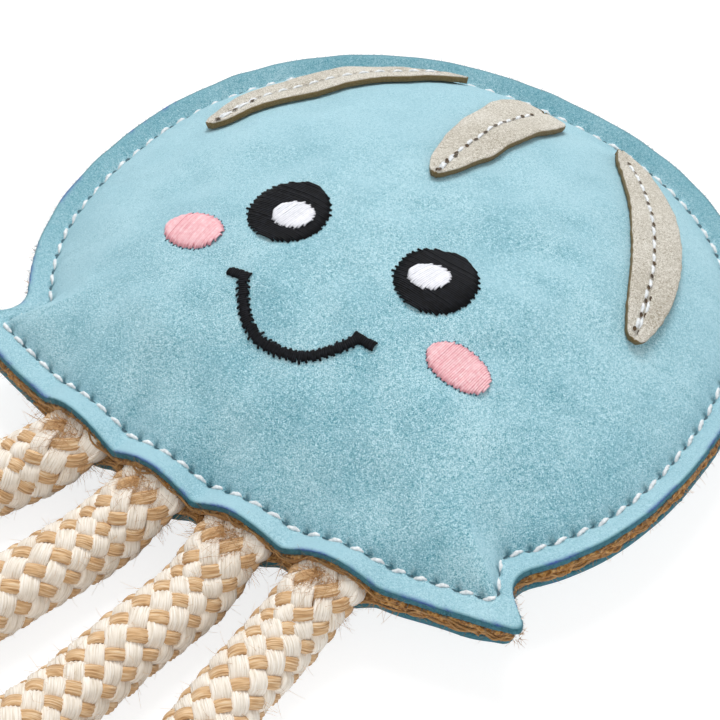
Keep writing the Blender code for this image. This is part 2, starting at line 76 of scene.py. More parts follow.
def add(tree, kind, settings=None, inputs=None):
    """One node: its settings, the stops of its ramp, and its inputs' values or links."""
    made = tree.nodes.new(kind)
    for name, value in (settings or {}).items():
        if name == "stops":
            ramp = made.color_ramp
            ramp.elements[0].position = value[0][0]
            ramp.elements[-1].position = value[-1][0]
            for place, _ in value[1:-1]:
                ramp.elements.new(place)
            for element, (_, code) in zip(ramp.elements, value):
                element.color = linear(code)
        else:
            setattr(made, name, value)
    for name, value in (inputs or {}).items():
        if isinstance(value, bpy.types.NodeSocket):
            tree.links.new(value, made.inputs[name])
        else:
            made.inputs[name].default_value = value
    return made


# %% [markdown]
# ### From arrays to pieces
# Each form below is worked out as a whole numpy array of places and handed to Blender at
# once, which is quick and keeps its formula in view. One stitch could be modelled by hand,
# two hundred could not. These helpers read along lines, sweep a cross-section along many
# lines at once, join rows of places into faces and make a named object of them.

# %% Arrays into pieces
def lengths_along(points):
    """Distance from the first point to each, the sum of the steps before it."""
    step = np.linalg.norm(np.diff(points, axis=0), axis=1)
    return np.concatenate([[0.0], np.cumsum(step)])


def read_table(at, known, table):
    """Rows of a table at new places, each column in proportion between the known places."""
    return np.stack([np.interp(at, known, column) for column in table.T], axis=-1)


def read_along(points, at):
    """The places at given distances along a line."""
    return read_table(at, lengths_along(points), points)


def evenly(points, count):
    """The line again, with a count of points at equal steps."""
    return read_along(points, np.linspace(0.0, lengths_along(points)[-1], count))


def unit(vectors):
    return vectors / np.linalg.norm(vectors, axis=-1, keepdims=True)


def closed(loop):
    """A loop with its first point once more at the end."""
    return np.vstack([loop, loop[:1]])


def circle(sides):
    """The corners of a regular polygon in a circle of radius 1."""
    turn = np.linspace(0.0, 2.0 * math.pi, sides + 1)[:-1]
    return np.stack([np.cos(turn), np.sin(turn)], axis=1)


def flat_pairs(first, second):
    """Two arrays of one shape as a list of pairs, for a UV map."""
    return np.stack([first.ravel(), second.ravel()], axis=1)


def grid_faces(rows, around):
    """The quads between the rows of a grid that is closed round each row."""
    row = np.arange(rows - 1)[:, None] * around
    here, after = np.arange(around), np.roll(np.arange(around), -1)
    quads = [row + here, row + after, row + around + after, row + around + here]
    return np.stack(quads, axis=-1).reshape(-1, 4)


def strands(centres, outward, profile):
    """Many closed tubes at once. A point is its tube's centre, plus the profile's first
    number across the tube, plus its second one outwards. Across is outwards x along."""
    along = unit(np.gradient(centres, axis=1))
    outward = unit(outward - along * np.sum(outward * along, axis=-1, keepdims=True))
    across = np.cross(outward, along)
    points = centres[:, :, None] + profile[..., :1] * across[:, :, None]
    points = points + profile[..., 1:] * outward[:, :, None]
    tubes, rows, around = points.shape[:3]
    start = np.arange(tubes)[:, None] * rows * around
    quads = (start[:, None] + grid_faces(rows, around)).reshape(-1, 4)
    first = start + np.arange(around)[::-1]
    last = start + (rows - 1) * around + np.arange(around)
    faces = quads.tolist() + first.tolist() + last.tolist()
    return points.reshape(-1, 3), faces


def tube_lots(own, quads):
    """The lot of each face of many tubes: each tube's quads, and then all the end caps."""
    own = np.asarray(own, int)
    return np.concatenate([np.repeat(own, quads), own, own])


def together(*parts):
    """Several lots of points and faces as one, and which lot each face is from."""
    points, faces, lots, count = [], [], [], 0
    for lot, (more, sides) in enumerate(parts):
        points.append(more)
        faces += [[count + i for i in side] for side in sides]
        lots += [lot] * len(sides)
        count += len(more)
    return np.vstack(points), faces, lots


def piece(name, points, faces, looks, slot, nodes=(), lots=None, uv=None, **values):
    """A smooth mesh object at the origin that rides on the toy and stands for CAD nodes."""
    data = bpy.data.meshes.new(name)
    data.from_pydata(points.tolist(), [], faces)
    for look in looks:
        data.materials.append(look)
    if lots is not None:
        data.polygons.foreach_set("material_index", lots)
    for key, value in values.items():
        layer = data.attributes.new(key, "FLOAT", "POINT")
        layer.data.foreach_set("value", np.ravel(value).astype(np.float32))
    if uv is not None:
        corners = np.empty(len(data.loops), np.int32)
        data.loops.foreach_get("vertex_index", corners)
        layer = data.uv_layers.new(name="UVMap")
        layer.data.foreach_set("uv", uv[corners].astype(np.float32).ravel())
    data.shade_smooth()
    data.update()
    made = bpy.data.objects.new(name, data)
    bpy.context.scene.collection.objects.link(made)
    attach(made, "root")
    if nodes:
        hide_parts(*nodes)
    print(f"{name}: {len(points)} points, {len(faces)} faces")
    return made


def waves(places, size, seed, count=28):
    """Smooth noise of about 1 either way: a sum of cosines in random directions, each
    about one size long, from a seeded draw."""
    draw = np.random.default_rng(seed)
    dimensions = places.shape[-1]
    way = unit(draw.normal(size=(count, dimensions)))
    way = way * (2.0 * math.pi / size) * draw.uniform(0.6, 1.5, (count, 1))
    phase = draw.uniform(0.0, 2.0 * math.pi, count)
    return np.cos(places @ way.T + phase).sum(axis=-1) * math.sqrt(2.0 / count)


# %% [markdown]
# ## The camera
# A long lens looks down at the toy from its lower right. Its place was solved from the
# outline and the face in the photograph, so the render lines up with it.

# %% Camera
CAMERA_AZIMUTH = math.radians(37.178)
CAMERA_ELEVATION = math.radians(48.661)
CAMERA_ROLL = math.radians(-1.612)
CAMERA_DISTANCE = 0.58156
CAMERA_TARGET = np.array([0.005575, -0.021328, 0.01695])
LENS = 130.0
SENSOR = 36.0


def aimed_camera():
    """Back is the way from the target to the lens. Right is up x back, turned by the roll."""
    level = math.cos(CAMERA_ELEVATION)
    back = np.array([math.sin(CAMERA_AZIMUTH) * level, -math.cos(CAMERA_AZIMUTH) * level, 0.0])
    back[2] = math.sin(CAMERA_ELEVATION)
    right = unit(np.cross((0.0, 0.0, 1.0), back))
    upward = np.cross(back, right)
    turned = math.cos(CAMERA_ROLL) * right + math.sin(CAMERA_ROLL) * upward
    data = bpy.data.cameras.new("photo_view")
    data.lens = LENS
    data.sensor_width = SENSOR
    made = bpy.data.objects.new("photo_view", data)
    bpy.context.scene.collection.objects.link(made)
    place = CAMERA_TARGET + CAMERA_DISTANCE * back
    columns = np.column_stack([turned, np.cross(back, turned), back, place])
    made.matrix_world = Matrix(np.vstack([columns, [0.0, 0.0, 0.0, 1.0]]).tolist())
    return made


bpy.context.scene.camera = aimed_camera()
print("camera at", [round(x, 3) for x in bpy.context.scene.camera.matrix_world.translation])

# %% [markdown]
# ## The pillow's outline
# The ropes start at the seam, so the outline comes first. Each half is a stretch of the lower
# arc, the straight side of the flare, and the dome, which is a superellipse.

# %% Sizes of the pillow
BODY_LENGTH = 0.1495
DOME_HALF_WIDTH = 0.0830
DOME_RISE = 0.0795
DOME_DROP = 0.0715
DOME_FULLNESS = 2.2
FLARE_HALF_WIDTH = 0.0770
FLARE_TIP_RISE = 0.0128
FLARE_LEAN = math.radians(50.0)
NOTCH_SOFTNESS = 0.0070
TIP_SOFTNESS = 0.0034
STITCH_LEAN = math.radians(30.0)
STITCH_SOFTNESS = 0.0020
MARGINS = (0.0050, 0.0075, 0.0060)
SEAM_HEIGHT = 0.0135
LINING = 0.0010
SUEDE = 0.0020
LAYER_GAP = 0.0003
FRONT_PUFF = 0.0270
BACK_PUFF = 0.0200
PUFF_ROUNDNESS = 2.4
PUFF_STEEPNESS = 0.9
ARCH_FADE_FROM = 0.84
CORNER_SOFTENING = 0.0600
CORNER_SOFTEST = 0.0200
LAYERS = LAYER_GAP / 2.0 + LINING + LAYER_GAP + SUEDE
CROWN_Y = BODY_LENGTH / 2.0
LOWER_Y = -BODY_LENGTH / 2.0
DOME_Y = CROWN_Y - DOME_RISE
TIP_Y = LOWER_Y + FLARE_TIP_RISE
ROPE_COUNT = 4
ROPE_DIAMETER = 0.0160
ROPE_PITCH = 0.0230
ROPE_ARCH = 0.0047
ROPE_EXITS = (np.arange(ROPE_COUNT) - (ROPE_COUNT - 1) / 2.0) * ROPE_PITCH
print("layers from the middle of the seam out:", round(LAYERS * 1000, 2), "mm")


# %% [markdown]
# ### The outline
# The pattern that the panels are cut to has a round dome, a hollow notch at each side and two
# flared corners below. It is built from three plain curves that cross at the notch and at
# the flare's tip, and a parabola softens each crossing. The same functions, drawn in by a
# margin, give the stitch line, so that the two can't drift apart.

# %% The outline's curves
def dome_x(y, margin):
    """Half width of the dome at y: its half width times (1 - share^f)^(1/f), where share is
    the height over the widest line as a share of the reach up or down."""
    reach = np.where(y > DOME_Y, DOME_RISE - margin, DOME_DROP - margin)
    share = np.clip(np.abs(y - DOME_Y) / reach, 0.0, 1.0)
    return (DOME_HALF_WIDTH - margin) * (1.0 - share**DOME_FULLNESS) ** (1.0 / DOME_FULLNESS)


def flare_x(y, margin, lean):
    """Half width of the flare's straight side: its tip's, less the rise times the lean."""
    return FLARE_HALF_WIDTH - margin - (y - TIP_Y) * math.tan(lean)


def lower_y(x, margin):
    """The lower edge: a circle's arc through its middle and both flare tips."""
    radius = (FLARE_HALF_WIDTH**2 + FLARE_TIP_RISE**2) / (2.0 * FLARE_TIP_RISE)
    return LOWER_Y + radius - np.sqrt((radius - margin) ** 2 - np.square(x))


def crossing(difference, low, high):
    """Where a difference changes its sign, by halving the stretch sixty times."""
    for _ in range(60):
        middle = (low + high) / 2.0
        if difference(low) * difference(middle) <= 0.0:
            high = middle
        else:
            low = middle
    return (low + high) / 2.0


def rounded_corner(before, corner, after, steps):
    """A parabola that touches both sides of a corner."""
    t = np.linspace(0.0, 1.0, steps)[:, None]
    return (1.0 - t) ** 2 * before + 2.0 * t * (1.0 - t) * corner + t**2 * after


LOWER_STEPS = 100
CORNER_STEPS = 9
FLARE_STEPS = 16
DOME_STEPS = 250


def outline(margins, lean, tip_softness, notch_softness):
    """The whole outline, anticlockwise from the middle of the lower edge. Every outline has
    as many points, and the same point lies at the same place on each."""
    dome_margin, flare_margin, lower_margin = margins
    notch_y = crossing(
        lambda y: float(dome_x(y, dome_margin)) - flare_x(y, flare_margin, lean), TIP_Y, DOME_Y
    )
    tip_y = crossing(
        lambda y: float(lower_y(flare_x(y, flare_margin, lean), lower_margin)) - y,
        LOWER_Y,
        notch_y,
    )
    notch = np.array([flare_x(notch_y, flare_margin, lean), notch_y])
    tip = np.array([flare_x(tip_y, flare_margin, lean), tip_y])
    across = np.linspace(0.0, tip[0] - tip_softness, LOWER_STEPS)
    lower = np.stack([across, lower_y(across, lower_margin)], axis=1)
    side = np.stack([tip, notch])
    side = read_along(
        side,
        np.linspace(tip_softness, lengths_along(side)[-1] - notch_softness, FLARE_STEPS),
    )
    crown = CROWN_Y - dome_margin
    turn = np.linspace(math.pi, 0.0, 3000)
    up = crown - (crown - notch_y) * (1.0 - np.cos(turn)) / 2.0
    dome = np.stack([dome_x(up, dome_margin), up], axis=1)
    dome = read_along(dome, np.linspace(notch_softness, lengths_along(dome)[-1], DOME_STEPS))
    half = np.vstack(
        [
            lower,
            rounded_corner(lower[-1], tip, side[0], CORNER_STEPS)[1:],
            side[1:],
            rounded_corner(side[-1], notch, dome[0], CORNER_STEPS)[1:],
            dome[1:],
        ]
    )
    return np.vstack([half, half[1:-1][::-1] * (-1.0, 1.0)])


CUT = outline((0.0, 0.0, 0.0), FLARE_LEAN, TIP_SOFTNESS, NOTCH_SOFTNESS)
STITCHED = outline(MARGINS, STITCH_LEAN, STITCH_SOFTNESS, STITCH_SOFTNESS)
AROUND = len(CUT)
print("points round the outline:", AROUND)

# %% [markdown]
# ## The ropes' routes
# A tentacle is a fixed length of soft rope. It comes straight out of the seam, drops to the
# table and lies there in a loose line to an overhand knot. The route's points are the same as
# the solid model's, joined by a smooth curve.

# %% Routes
ROPE_GRIP = 0.0120
ROPE_RELEASE = 0.0012
ROPE_END_STEP = 0.0060
FLOOR_GAP = 0.0001
ROPE_LIE = ROPE_DIAMETER / 2.0 + FLOOR_GAP
ROPE_ROUTES = (
    ((-0.0415, -0.084), (-0.0512, -0.100), (-0.0613, -0.115), (-0.0710, -0.131), (-0.0800, -0.147)),
    ((-0.0150, -0.087), (-0.0200, -0.105), (-0.0255, -0.123), (-0.0310, -0.141), (-0.0355, -0.159)),
    ((0.0105, -0.088), (0.0080, -0.106), (0.0055, -0.125), (0.0035, -0.143), (0.0025, -0.162)),
    ((0.0330, -0.086), (0.0330, -0.104), (0.0345, -0.122), (0.0372, -0.141), (0.0410, -0.160)),
)
KNOT_STRAND = 0.0102
KNOT_STRAND_GAP = 0.0005
KNOT_REACH = 0.0290
KNOT_LEAD_POINTS = 4
KNOT_POINTS = 73
KNOT_ROUNDS = 900
KNOT_ENTRY = 0.0090


def blend(first, second, start, end, t):
    return ((end - t) * first + (t - start) * second) / (end - start)


def curve_through(points, count):
    """A smooth line through the points. Between two of them it is a cubic made by blending
    the straight lines through four neighbours, with times that grow by the root of the step."""
    known = np.asarray(points, float)
    known = np.vstack([2.0 * known[0] - known[1], known, 2.0 * known[-1] - known[-2]])
    step = np.linalg.norm(np.diff(known, axis=0), axis=1)
    at = np.concatenate([[0.0], np.cumsum(np.sqrt(step))])
    pieces = []
    for i in range(1, len(known) - 2):
        t = np.linspace(at[i], at[i + 1], 40)[:, None]
        near, times = known[i - 1 : i + 3], at[i - 1 : i + 3]
        first = [blend(near[j], near[j + 1], times[j], times[j + 1], t) for j in range(3)]
        second = [blend(first[j], first[j + 1], times[j], times[j + 2], t) for j in range(2)]
        pieces.append(blend(second[0], second[1], times[1], times[2], t))
    return evenly(np.vstack(pieces), count)


def straight_leads(line):
    """The line with the points nearest its ends set in step along X."""
    spacing = lengths_along(line)[-1] / (len(line) - 1)
    lead = KNOT_REACH - np.arange(KNOT_LEAD_POINTS) * spacing
    lead = np.column_stack([lead, np.zeros((KNOT_LEAD_POINTS, 2))])
    return np.vstack([-lead, line[KNOT_LEAD_POINTS:-KNOT_LEAD_POINTS], lead[::-1]])


def pushed_apart(line, apart):
    """The line with its stretches that lie too near each other moved apart."""
    spacing = lengths_along(line)[-1] / (len(line) - 1)
    first, second = np.triu_indices(len(line), math.ceil(1.6 * apart / spacing))
    between = line[first] - line[second]
    distance = np.linalg.norm(between, axis=1)
    near = distance < apart
    first, second, between, distance = first[near], second[near], between[near], distance[near]
    push = between * (0.25 * (apart - distance) / distance)[:, None]
    moved = line.copy()
    np.add.at(moved, first, push)
    np.add.at(moved, second, -push)
    return moved


def overhand():
    """Centre line of a tight overhand knot along X. Each round draws every point towards its
    neighbours, as tension does, and pushes strands that touch apart."""
    t = np.linspace(-2.06, 2.06, 400)
    loose = np.stack([t**5 - 10.0 * t, t**3 - 3.0 * t, t**4 - 4.0 * t**2], axis=1)
    loose *= np.array([0.275, 1.0, 0.8]) * 0.75 * KNOT_STRAND
    end = np.array([KNOT_REACH, 0.0, 0.0])
    line = evenly(np.vstack([-end, loose, end]), KNOT_POINTS)
    for turn in range(KNOT_ROUNDS):
        line[1:-1] += 0.35 * ((line[:-2] + line[2:]) / 2.0 - line[1:-1])
        for _ in range(3):
            line = straight_leads(pushed_apart(line, KNOT_STRAND + KNOT_STRAND_GAP))
        if turn % 5 == 0:
            line = straight_leads(evenly(line, KNOT_POINTS))
    return line * (1.0, 1.0, -1.0)


KNOT = overhand()
KNOT_LIE = KNOT_STRAND / 2.0 + FLOOR_GAP - KNOT[:, 2].min()


def rope_line(number):
    """One rope from inside the seam to its knot."""
    x = ROPE_EXITS[number]
    edge = float(lower_y(x, 0.0))
    held = [(x, edge + ROPE_GRIP, SEAM_HEIGHT), (x, edge - ROPE_RELEASE, SEAM_HEIGHT)]
    *lying, before, end = ROPE_ROUTES[number]
    lying = [(*point, ROPE_LIE) for point in lying]
    return curve_through(held + lying + [(*before, KNOT_LIE), (*end, KNOT_LIE)], 400)


def knot_on(line):
    """The knot's line, set on the end of a rope and turned to run on from it."""
    end = line[-1]
    before = read_along(line, lengths_along(line)[-1] - ROPE_END_STEP)
    heading = unit((end - before)[:2])
    side = np.array([-heading[1], heading[0]])
    flat = end[:2] + heading * (LAYER_GAP + KNOT_REACH)
    flat = flat + KNOT[:, :1] * heading + KNOT[:, 1:2] * side
    return np.column_stack([flat, KNOT[:, 2] + KNOT_LIE]), heading


ROPE_LINES = [rope_line(i) for i in range(ROPE_COUNT)]
KNOT_LINES = [knot_on(line) for line in ROPE_LINES]
print("ropes, mm:", [round(lengths_along(line)[-1] * 1000, 1) for line in ROPE_LINES])
print("rope in each knot, mm:", round(lengths_along(KNOT)[-1] * 1000, 1))

# %% [markdown]
# ## Yarns
# The rope mixes soft bleached cotton with stiff golden jute. Both are dull: light sinks in
# between the fibres, so the shader is rough, with a little sheen for the loose fibre ends.
# The pattern runs along each band, so it reads the band's own UV map, which is in
# millimetres: u along the band and v across it.


# %% Yarn looks
def fibre_look(name, stops, grain, strength, depth, stretch=None, **values):
    """Fibres that go from dark to light by noise, which raises them too. Grain is the noise's
    settings. With stretch the noise is drawn out on the UV map, and else it fills space."""
    look, tree, shader = new_look(name, **values)
    place = add(tree, "ShaderNodeTexCoord")
    vector = place.outputs["Object"]
    if stretch is not None:
        drawn = {"Vector": place.outputs["UV"], "Scale": stretch}
        vector = add(tree, "ShaderNodeMapping", inputs=drawn).outputs["Vector"]
    clumps = add(tree, "ShaderNodeTexNoise", inputs={"Vector": vector, **grain}).outputs["Fac"]
    tone = add(tree, "ShaderNodeValToRGB", settings={"stops": stops}, inputs={"Fac": clumps})
    relief = {"Height": clumps, "Strength": strength, "Distance": depth}
    raised = add(tree, "ShaderNodeBump", inputs=relief)
    tree.links.new(tone.outputs["Color"], shader.inputs["Base Color"])
    tree.links.new(raised.outputs["Normal"], shader.inputs["Normal"])
    return look


def yarn_look(name, tones, line_mm, roughness, sheen, depth):
    """Spun yarn: fine lines along the thread, each line_mm wide, and slubs a few mm long."""
    stops = list(zip((0.3, 0.5, 0.7), tones))
    grain = {"Scale": 1.0, "Detail": 3.0}
    values = {"Roughness": roughness, "Sheen_Weight": sheen, "Sheen_Roughness": 0.6}
    stretch = (0.35, 1.0 / line_mm, 1.0)
    return fibre_look(name, stops, grain, 0.7, depth, stretch, Specular_IOR_Level=0.2, **values)


COTTON_TONES = ("#CDBFAB", "#E8DED0", "#F6F0E7")
JUTE_TONES = ("#A1774B", "#CFA97D", "#E8D0AE")
RAW_JUTE_TONES = ("#6A441D", "#B58247", "#E6C189")
COTTON = yarn_look("spun_cotton_yarn", COTTON_TONES, 0.3, 0.85, 0.25, 0.0004)
JUTE = yarn_look("spun_jute_yarn", JUTE_TONES, 0.3, 0.9, 0.15, 0.0005)
RAW_JUTE = yarn_look("raw_jute_fibre", RAW_JUTE_TONES, 0.25, 0.95, 0.15, 0.0005)

# %% [markdown]
# ## The braid
# Sixteen carriers make the rope: eight bands of cotton wind one way and eight of jute the
# other, each over one and under one. Where a band is at angle a round the rope, its radius
# swings with cos(8 a), and the jute's swings the other way, so they interlace. That puts the
# cotton's blocks and the jute's in rows along the rope, as on the real one.

# %% Braid
BANDS = 8
LAY = 0.0488
ROWS_PER_CROSSING = 6
MIDDLE_SHARE = 0.815
SWING_SHARE = 0.100
COTTON_BAND = {"width": 0.0046, "thickness": 0.0014, "yarns": 5}
JUTE_BAND = {"width": 0.0030, "thickness": 0.0013, "yarns": 3}
YARN_RIDGE = 0.00026
BAND_WANDER = 0.035
CORE_SHARE = 0.72


def band_profile(width, thickness, yarns):
    """Cross-section of a flat band: a low crown, 1 - (2x)^4, with a ridge for each yarn, and
    a flat underside. It runs from one edge over the top to the other and back below."""
    x = np.linspace(0.5, -0.5, 2 * yarns + 1)
    ridge = np.abs(np.sin(np.arange(2 * yarns + 1) * math.pi / 2.0))
    top = thickness * (0.5 - 0.45 * (2.0 * x) ** 4) + YARN_RIDGE * ridge
    under = np.array([[-0.45, -0.5], [0.0, -0.5], [0.45, -0.5]]) * (width, thickness)
    return np.vstack([np.column_stack([x * width, top]), under])


def carried_frames(line):
    """A sideways and an upward unit vector at each point of a line, carried along it without
    a twist: the upward one is kept square to each new step."""
    along = unit(np.gradient(line, axis=0))
    upward = [unit(np.array([0.0, 0.0, 1.0]) - along[0][2] * along[0])]
    for step in along[1:]:
        upward.append(unit(upward[-1] - step * (upward[-1] @ step)))
    upward = np.array(upward)
    return np.cross(along, upward), upward


def interlaced(angle):
    """The over and under of a band: cos(8 a), with its tops and bottoms made broader."""
    swing = np.cos(BANDS * angle)
    return np.sign(swing) * np.abs(swing) ** 0.7


def braid(line, diameter, wide, high, first_turn):
    """All bands of a braid round a line. Diameter is given at each point, and so are wide
    and high, the shares by which the rope is flattened."""
    sideways, upward = carried_frames(line)
    along = lengths_along(line) + first_turn
    lots = []
    for sign, band in ((1.0, COTTON_BAND), (-1.0, JUTE_BAND)):
        start = np.arange(BANDS)[:, None] * 2.0 * math.pi / BANDS
        angle = start + sign * 2.0 * math.pi * along / LAY
        radius = diameter / 2.0 * (MIDDLE_SHARE + sign * SWING_SHARE * interlaced(angle))
        spot = np.stack(np.broadcast_arrays(along, start * 0.02, line[0, 0]), axis=-1)
        angle = angle + BAND_WANDER * waves(spot, 0.009, 31)
        radius = radius * (1.0 + 0.012 * waves(spot, 0.006, 32))
        cosine, sine = np.cos(angle)[..., None], np.sin(angle)[..., None]
        ring = cosine * wide[:, None] * sideways + sine * high[:, None] * upward
        outward = cosine / wide[:, None] * sideways + sine / high[:, None] * upward
        centres = line + radius[..., None] * ring
        profile = band_profile(**band)
        scale = (diameter / ROPE_DIAMETER * (1.0 + 0.05 * waves(spot, 0.008, 33)))[..., None, None]
        points, faces = strands(centres, unit(outward), profile * scale)
        shape = (BANDS, len(line), len(profile))
        u = np.broadcast_to(along[None, :, None] * 1000.0 + start[..., None] * 31.0, shape)
        v = np.broadcast_to(profile[:, 0] * 1000.0, shape)
        lots.append((points, faces, flat_pairs(u, v)))
    core = circle(12) * (CORE_SHARE / 2.0) * diameter[None, :, None, None]
    core = core * np.stack([wide, high], axis=1)[:, None]
    points, faces = strands(line[None], upward[None], core)
    lots.append((points, faces, np.zeros((len(points), 2))))
    return lots


RESTING = 0.0008


def braided_piece(name, line, diameter, wide, high, first_turn, nodes):
    """A rope rests on the table, so what lies lower than 0.8 mm is pressed flat by exp."""
    lots = braid(line, diameter, wide, high, first_turn)
    points, faces, which = together(*[lot[:2] for lot in lots])
    low = points[:, 2] < RESTING
    points[low, 2] = RESTING * np.exp(points[low, 2] / RESTING - 1.0)
    uv = np.vstack([lot[2] for lot in lots])
    return piece(
        name, points, faces, [COTTON, JUTE, JUTE], "braided_rope", nodes, lots=which, uv=uv
    )


# %% [markdown]
# ## Ropes and knots
# The seam grips a rope so hard that it is flattened to fill its arch in the panel. A
# centimetre out it is round again. In the knot the strands press together, so the rope is
# thinner there, and past the knot it springs open. The braid runs on from the rope into the
# knot, which is a piece of its own.

# %% Make the ropes
SEAM_WIDE = 1.03
SEAM_HIGH = 0.56
SEWN_HIGH = 0.28
SEWN_DEPTH = 0.0060
SPREAD_LENGTH = 0.0105
KNOT_DIAMETER = 0.0117
TAIL_OPEN = 0.0140


def eased(distance, start, end):
    """0 before start, 1 after end, and 3 t^2 - 2 t^3 between them."""
    t = np.clip((distance - start) / (end - start), 0.0, 1.0)
    return t * t * (3.0 - 2.0 * t)


def tentacle(number):
    rope, (knot, heading) = ROPE_LINES[number], KNOT_LINES[number]
    held = lengths_along(rope)[-1]
    line = np.vstack([rope, curve_through(knot, 400)])
    total = lengths_along(line)[-1]
    rows = round(total / (LAY / 16.0) * ROWS_PER_CROSSING)
    line = evenly(line, rows)
    along = lengths_along(line)
    open_again = eased(along, ROPE_GRIP, ROPE_GRIP + SPREAD_LENGTH)
    wide = SEAM_WIDE + (1.0 - SEAM_WIDE) * open_again
    sewn = eased(along, ROPE_GRIP - SEWN_DEPTH, ROPE_GRIP)
    held_high = SEWN_HIGH + (SEAM_HIGH - SEWN_HIGH) * sewn
    high = held_high + (1.0 - SEAM_HIGH) * open_again
    tight = eased(along, held - 0.002, held + KNOT_ENTRY)
    loose = eased(along, total - 0.010, total)
    diameter = ROPE_DIAMETER + (KNOT_DIAMETER - ROPE_DIAMETER) * tight
    diameter = diameter + (TAIL_OPEN - KNOT_DIAMETER) * loose
    split = int(np.searchsorted(along, held))
    first, second = slice(0, split + 1), slice(split, None)
    name = number + 1
    values = [line, diameter, wide, high]
    made = braided_piece(
        f"braided_rope_{name}", *[v[first] for v in values], 0.0, [f"rope_{name}"]
    )
    tied = braided_piece(
        f"overhand_knot_{name}", *[v[second] for v in values], along[split], [f"knot_{name}"]
    )
    return made, tied, line[first], line[-1], heading


TENTACLES = [tentacle(number) for number in range(ROPE_COUNT)]

# %% [markdown]
# ## Loose fibres
# Cut jute and worn rope shed short hairs, which break up every outline. A fibre is a bent
# hair, root + way t + bend t^2, made as a thin three-sided tube. They are drawn about twice
# as thick as real ones, or they would vanish between the picture's pixels.


# %% Fibre helper
def fibres(roots, ways, lengths, thickness, bend, seed):
    """Bent hairs, thinner towards their tips."""
    draw = np.random.default_rng(seed)
    t = np.linspace(0.0, 1.0, 6)[None, :, None]
    count = len(roots)
    curl = unit(draw.normal(size=(count, 3))) * (lengths * bend)[:, None]
    centres = roots[:, None] + ways[:, None] * lengths[:, None, None] * t
    centres = centres + curl[:, None] * t**2
    profile = circle(3) * thickness / 2.0 * (1.0 - 0.6 * t)[..., None]
    outward = np.broadcast_to(unit(draw.normal(size=(count, 1, 3))), centres.shape)
    uv = np.zeros((count * 6 * 3, 2))
    uv[:, 0] = np.repeat(draw.uniform(0.0, 300.0, count), 18)
    points, faces = strands(centres, outward, profile)
    points[:, 2] = np.maximum(points[:, 2], 0.00005)
    return points, faces, uv


# %% [markdown]
# ### Frayed ends and rope fuzz
# Past its knot a cut rope comes undone into its yarns, which fan out and rest on the table,
# so each yarn is a tube of its own. Short cotton hairs stand off the rope all along, and
# brown jute hairs grow thick where it leaves the seam, because the needle tore the cloth.

# %% Frayed ends
TASSEL_YARNS = 72
YARN_THICKNESS = 0.0010
YARN_LENGTHS = (0.0120, 0.0165)
YARN_SPREAD = 0.0030
YARN_WANDER = 0.0012
YARN_LIE = 0.0008


def tassel(number, end, heading):
    """The rope's end, undone into its yarns, which fan out and rest on the table."""
    draw = np.random.default_rng(40 + number)
    way = np.array([*heading, 0.0])
    side = np.array([-heading[1], heading[0], 0.0])
    angle = draw.uniform(0.0, 2.0 * math.pi, TASSEL_YARNS)
    reach = np.sqrt(draw.uniform(0.02, 1.0, TASSEL_YARNS))
    ring = np.cos(angle)[:, None] * side + np.sin(angle)[:, None] * np.array([0.0, 0.0, 1.0])
    t = np.linspace(0.0, 1.0, 9)[None, :, None]
    length = draw.uniform(*YARN_LENGTHS, TASSEL_YARNS)[:, None, None]
    start = end - way * YARN_SPREAD + ring * (reach * TAIL_OPEN * 0.40)[:, None]
    centres = start[:, None] + way * length * t + ring[:, None] * (YARN_SPREAD * t**2)
    wander = draw.normal(size=(TASSEL_YARNS, 1, 3)) * YARN_WANDER
    centres = centres + wander * np.sin(t * 2.6)
    centres[..., 2] = np.maximum(centres[..., 2], YARN_LIE)
    outward = np.broadcast_to(unit(draw.normal(size=(TASSEL_YARNS, 1, 3))), centres.shape)
    points, faces = strands(centres, outward, circle(6) * YARN_THICKNESS / 2.0)
    own = np.arange(TASSEL_YARNS)
    u = np.broadcast_to(t * 15.0 + own[:, None, None] * 7.0, (TASSEL_YARNS, 9, 6))
    uv = flat_pairs(u, np.broadcast_to(np.arange(6) * math.pi / 3.0, u.shape))
    lots = tube_lots(own >= TASSEL_YARNS * 5 // 8, 8 * 6)
    name = f"frayed_end_{number + 1}"
    return piece(name, points, faces, [COTTON, JUTE], "braided_rope", lots=lots, uv=uv)


# %% Rope fuzz
ROPE_FUZZ = 420
ROPE_FUZZ_LENGTHS = (0.0008, 0.0022)
EXIT_FUZZ = 900
EXIT_FUZZ_LENGTHS = (0.0012, 0.0034)
EXIT_FUZZ_REACH = 0.0060
HAIR = 0.00010


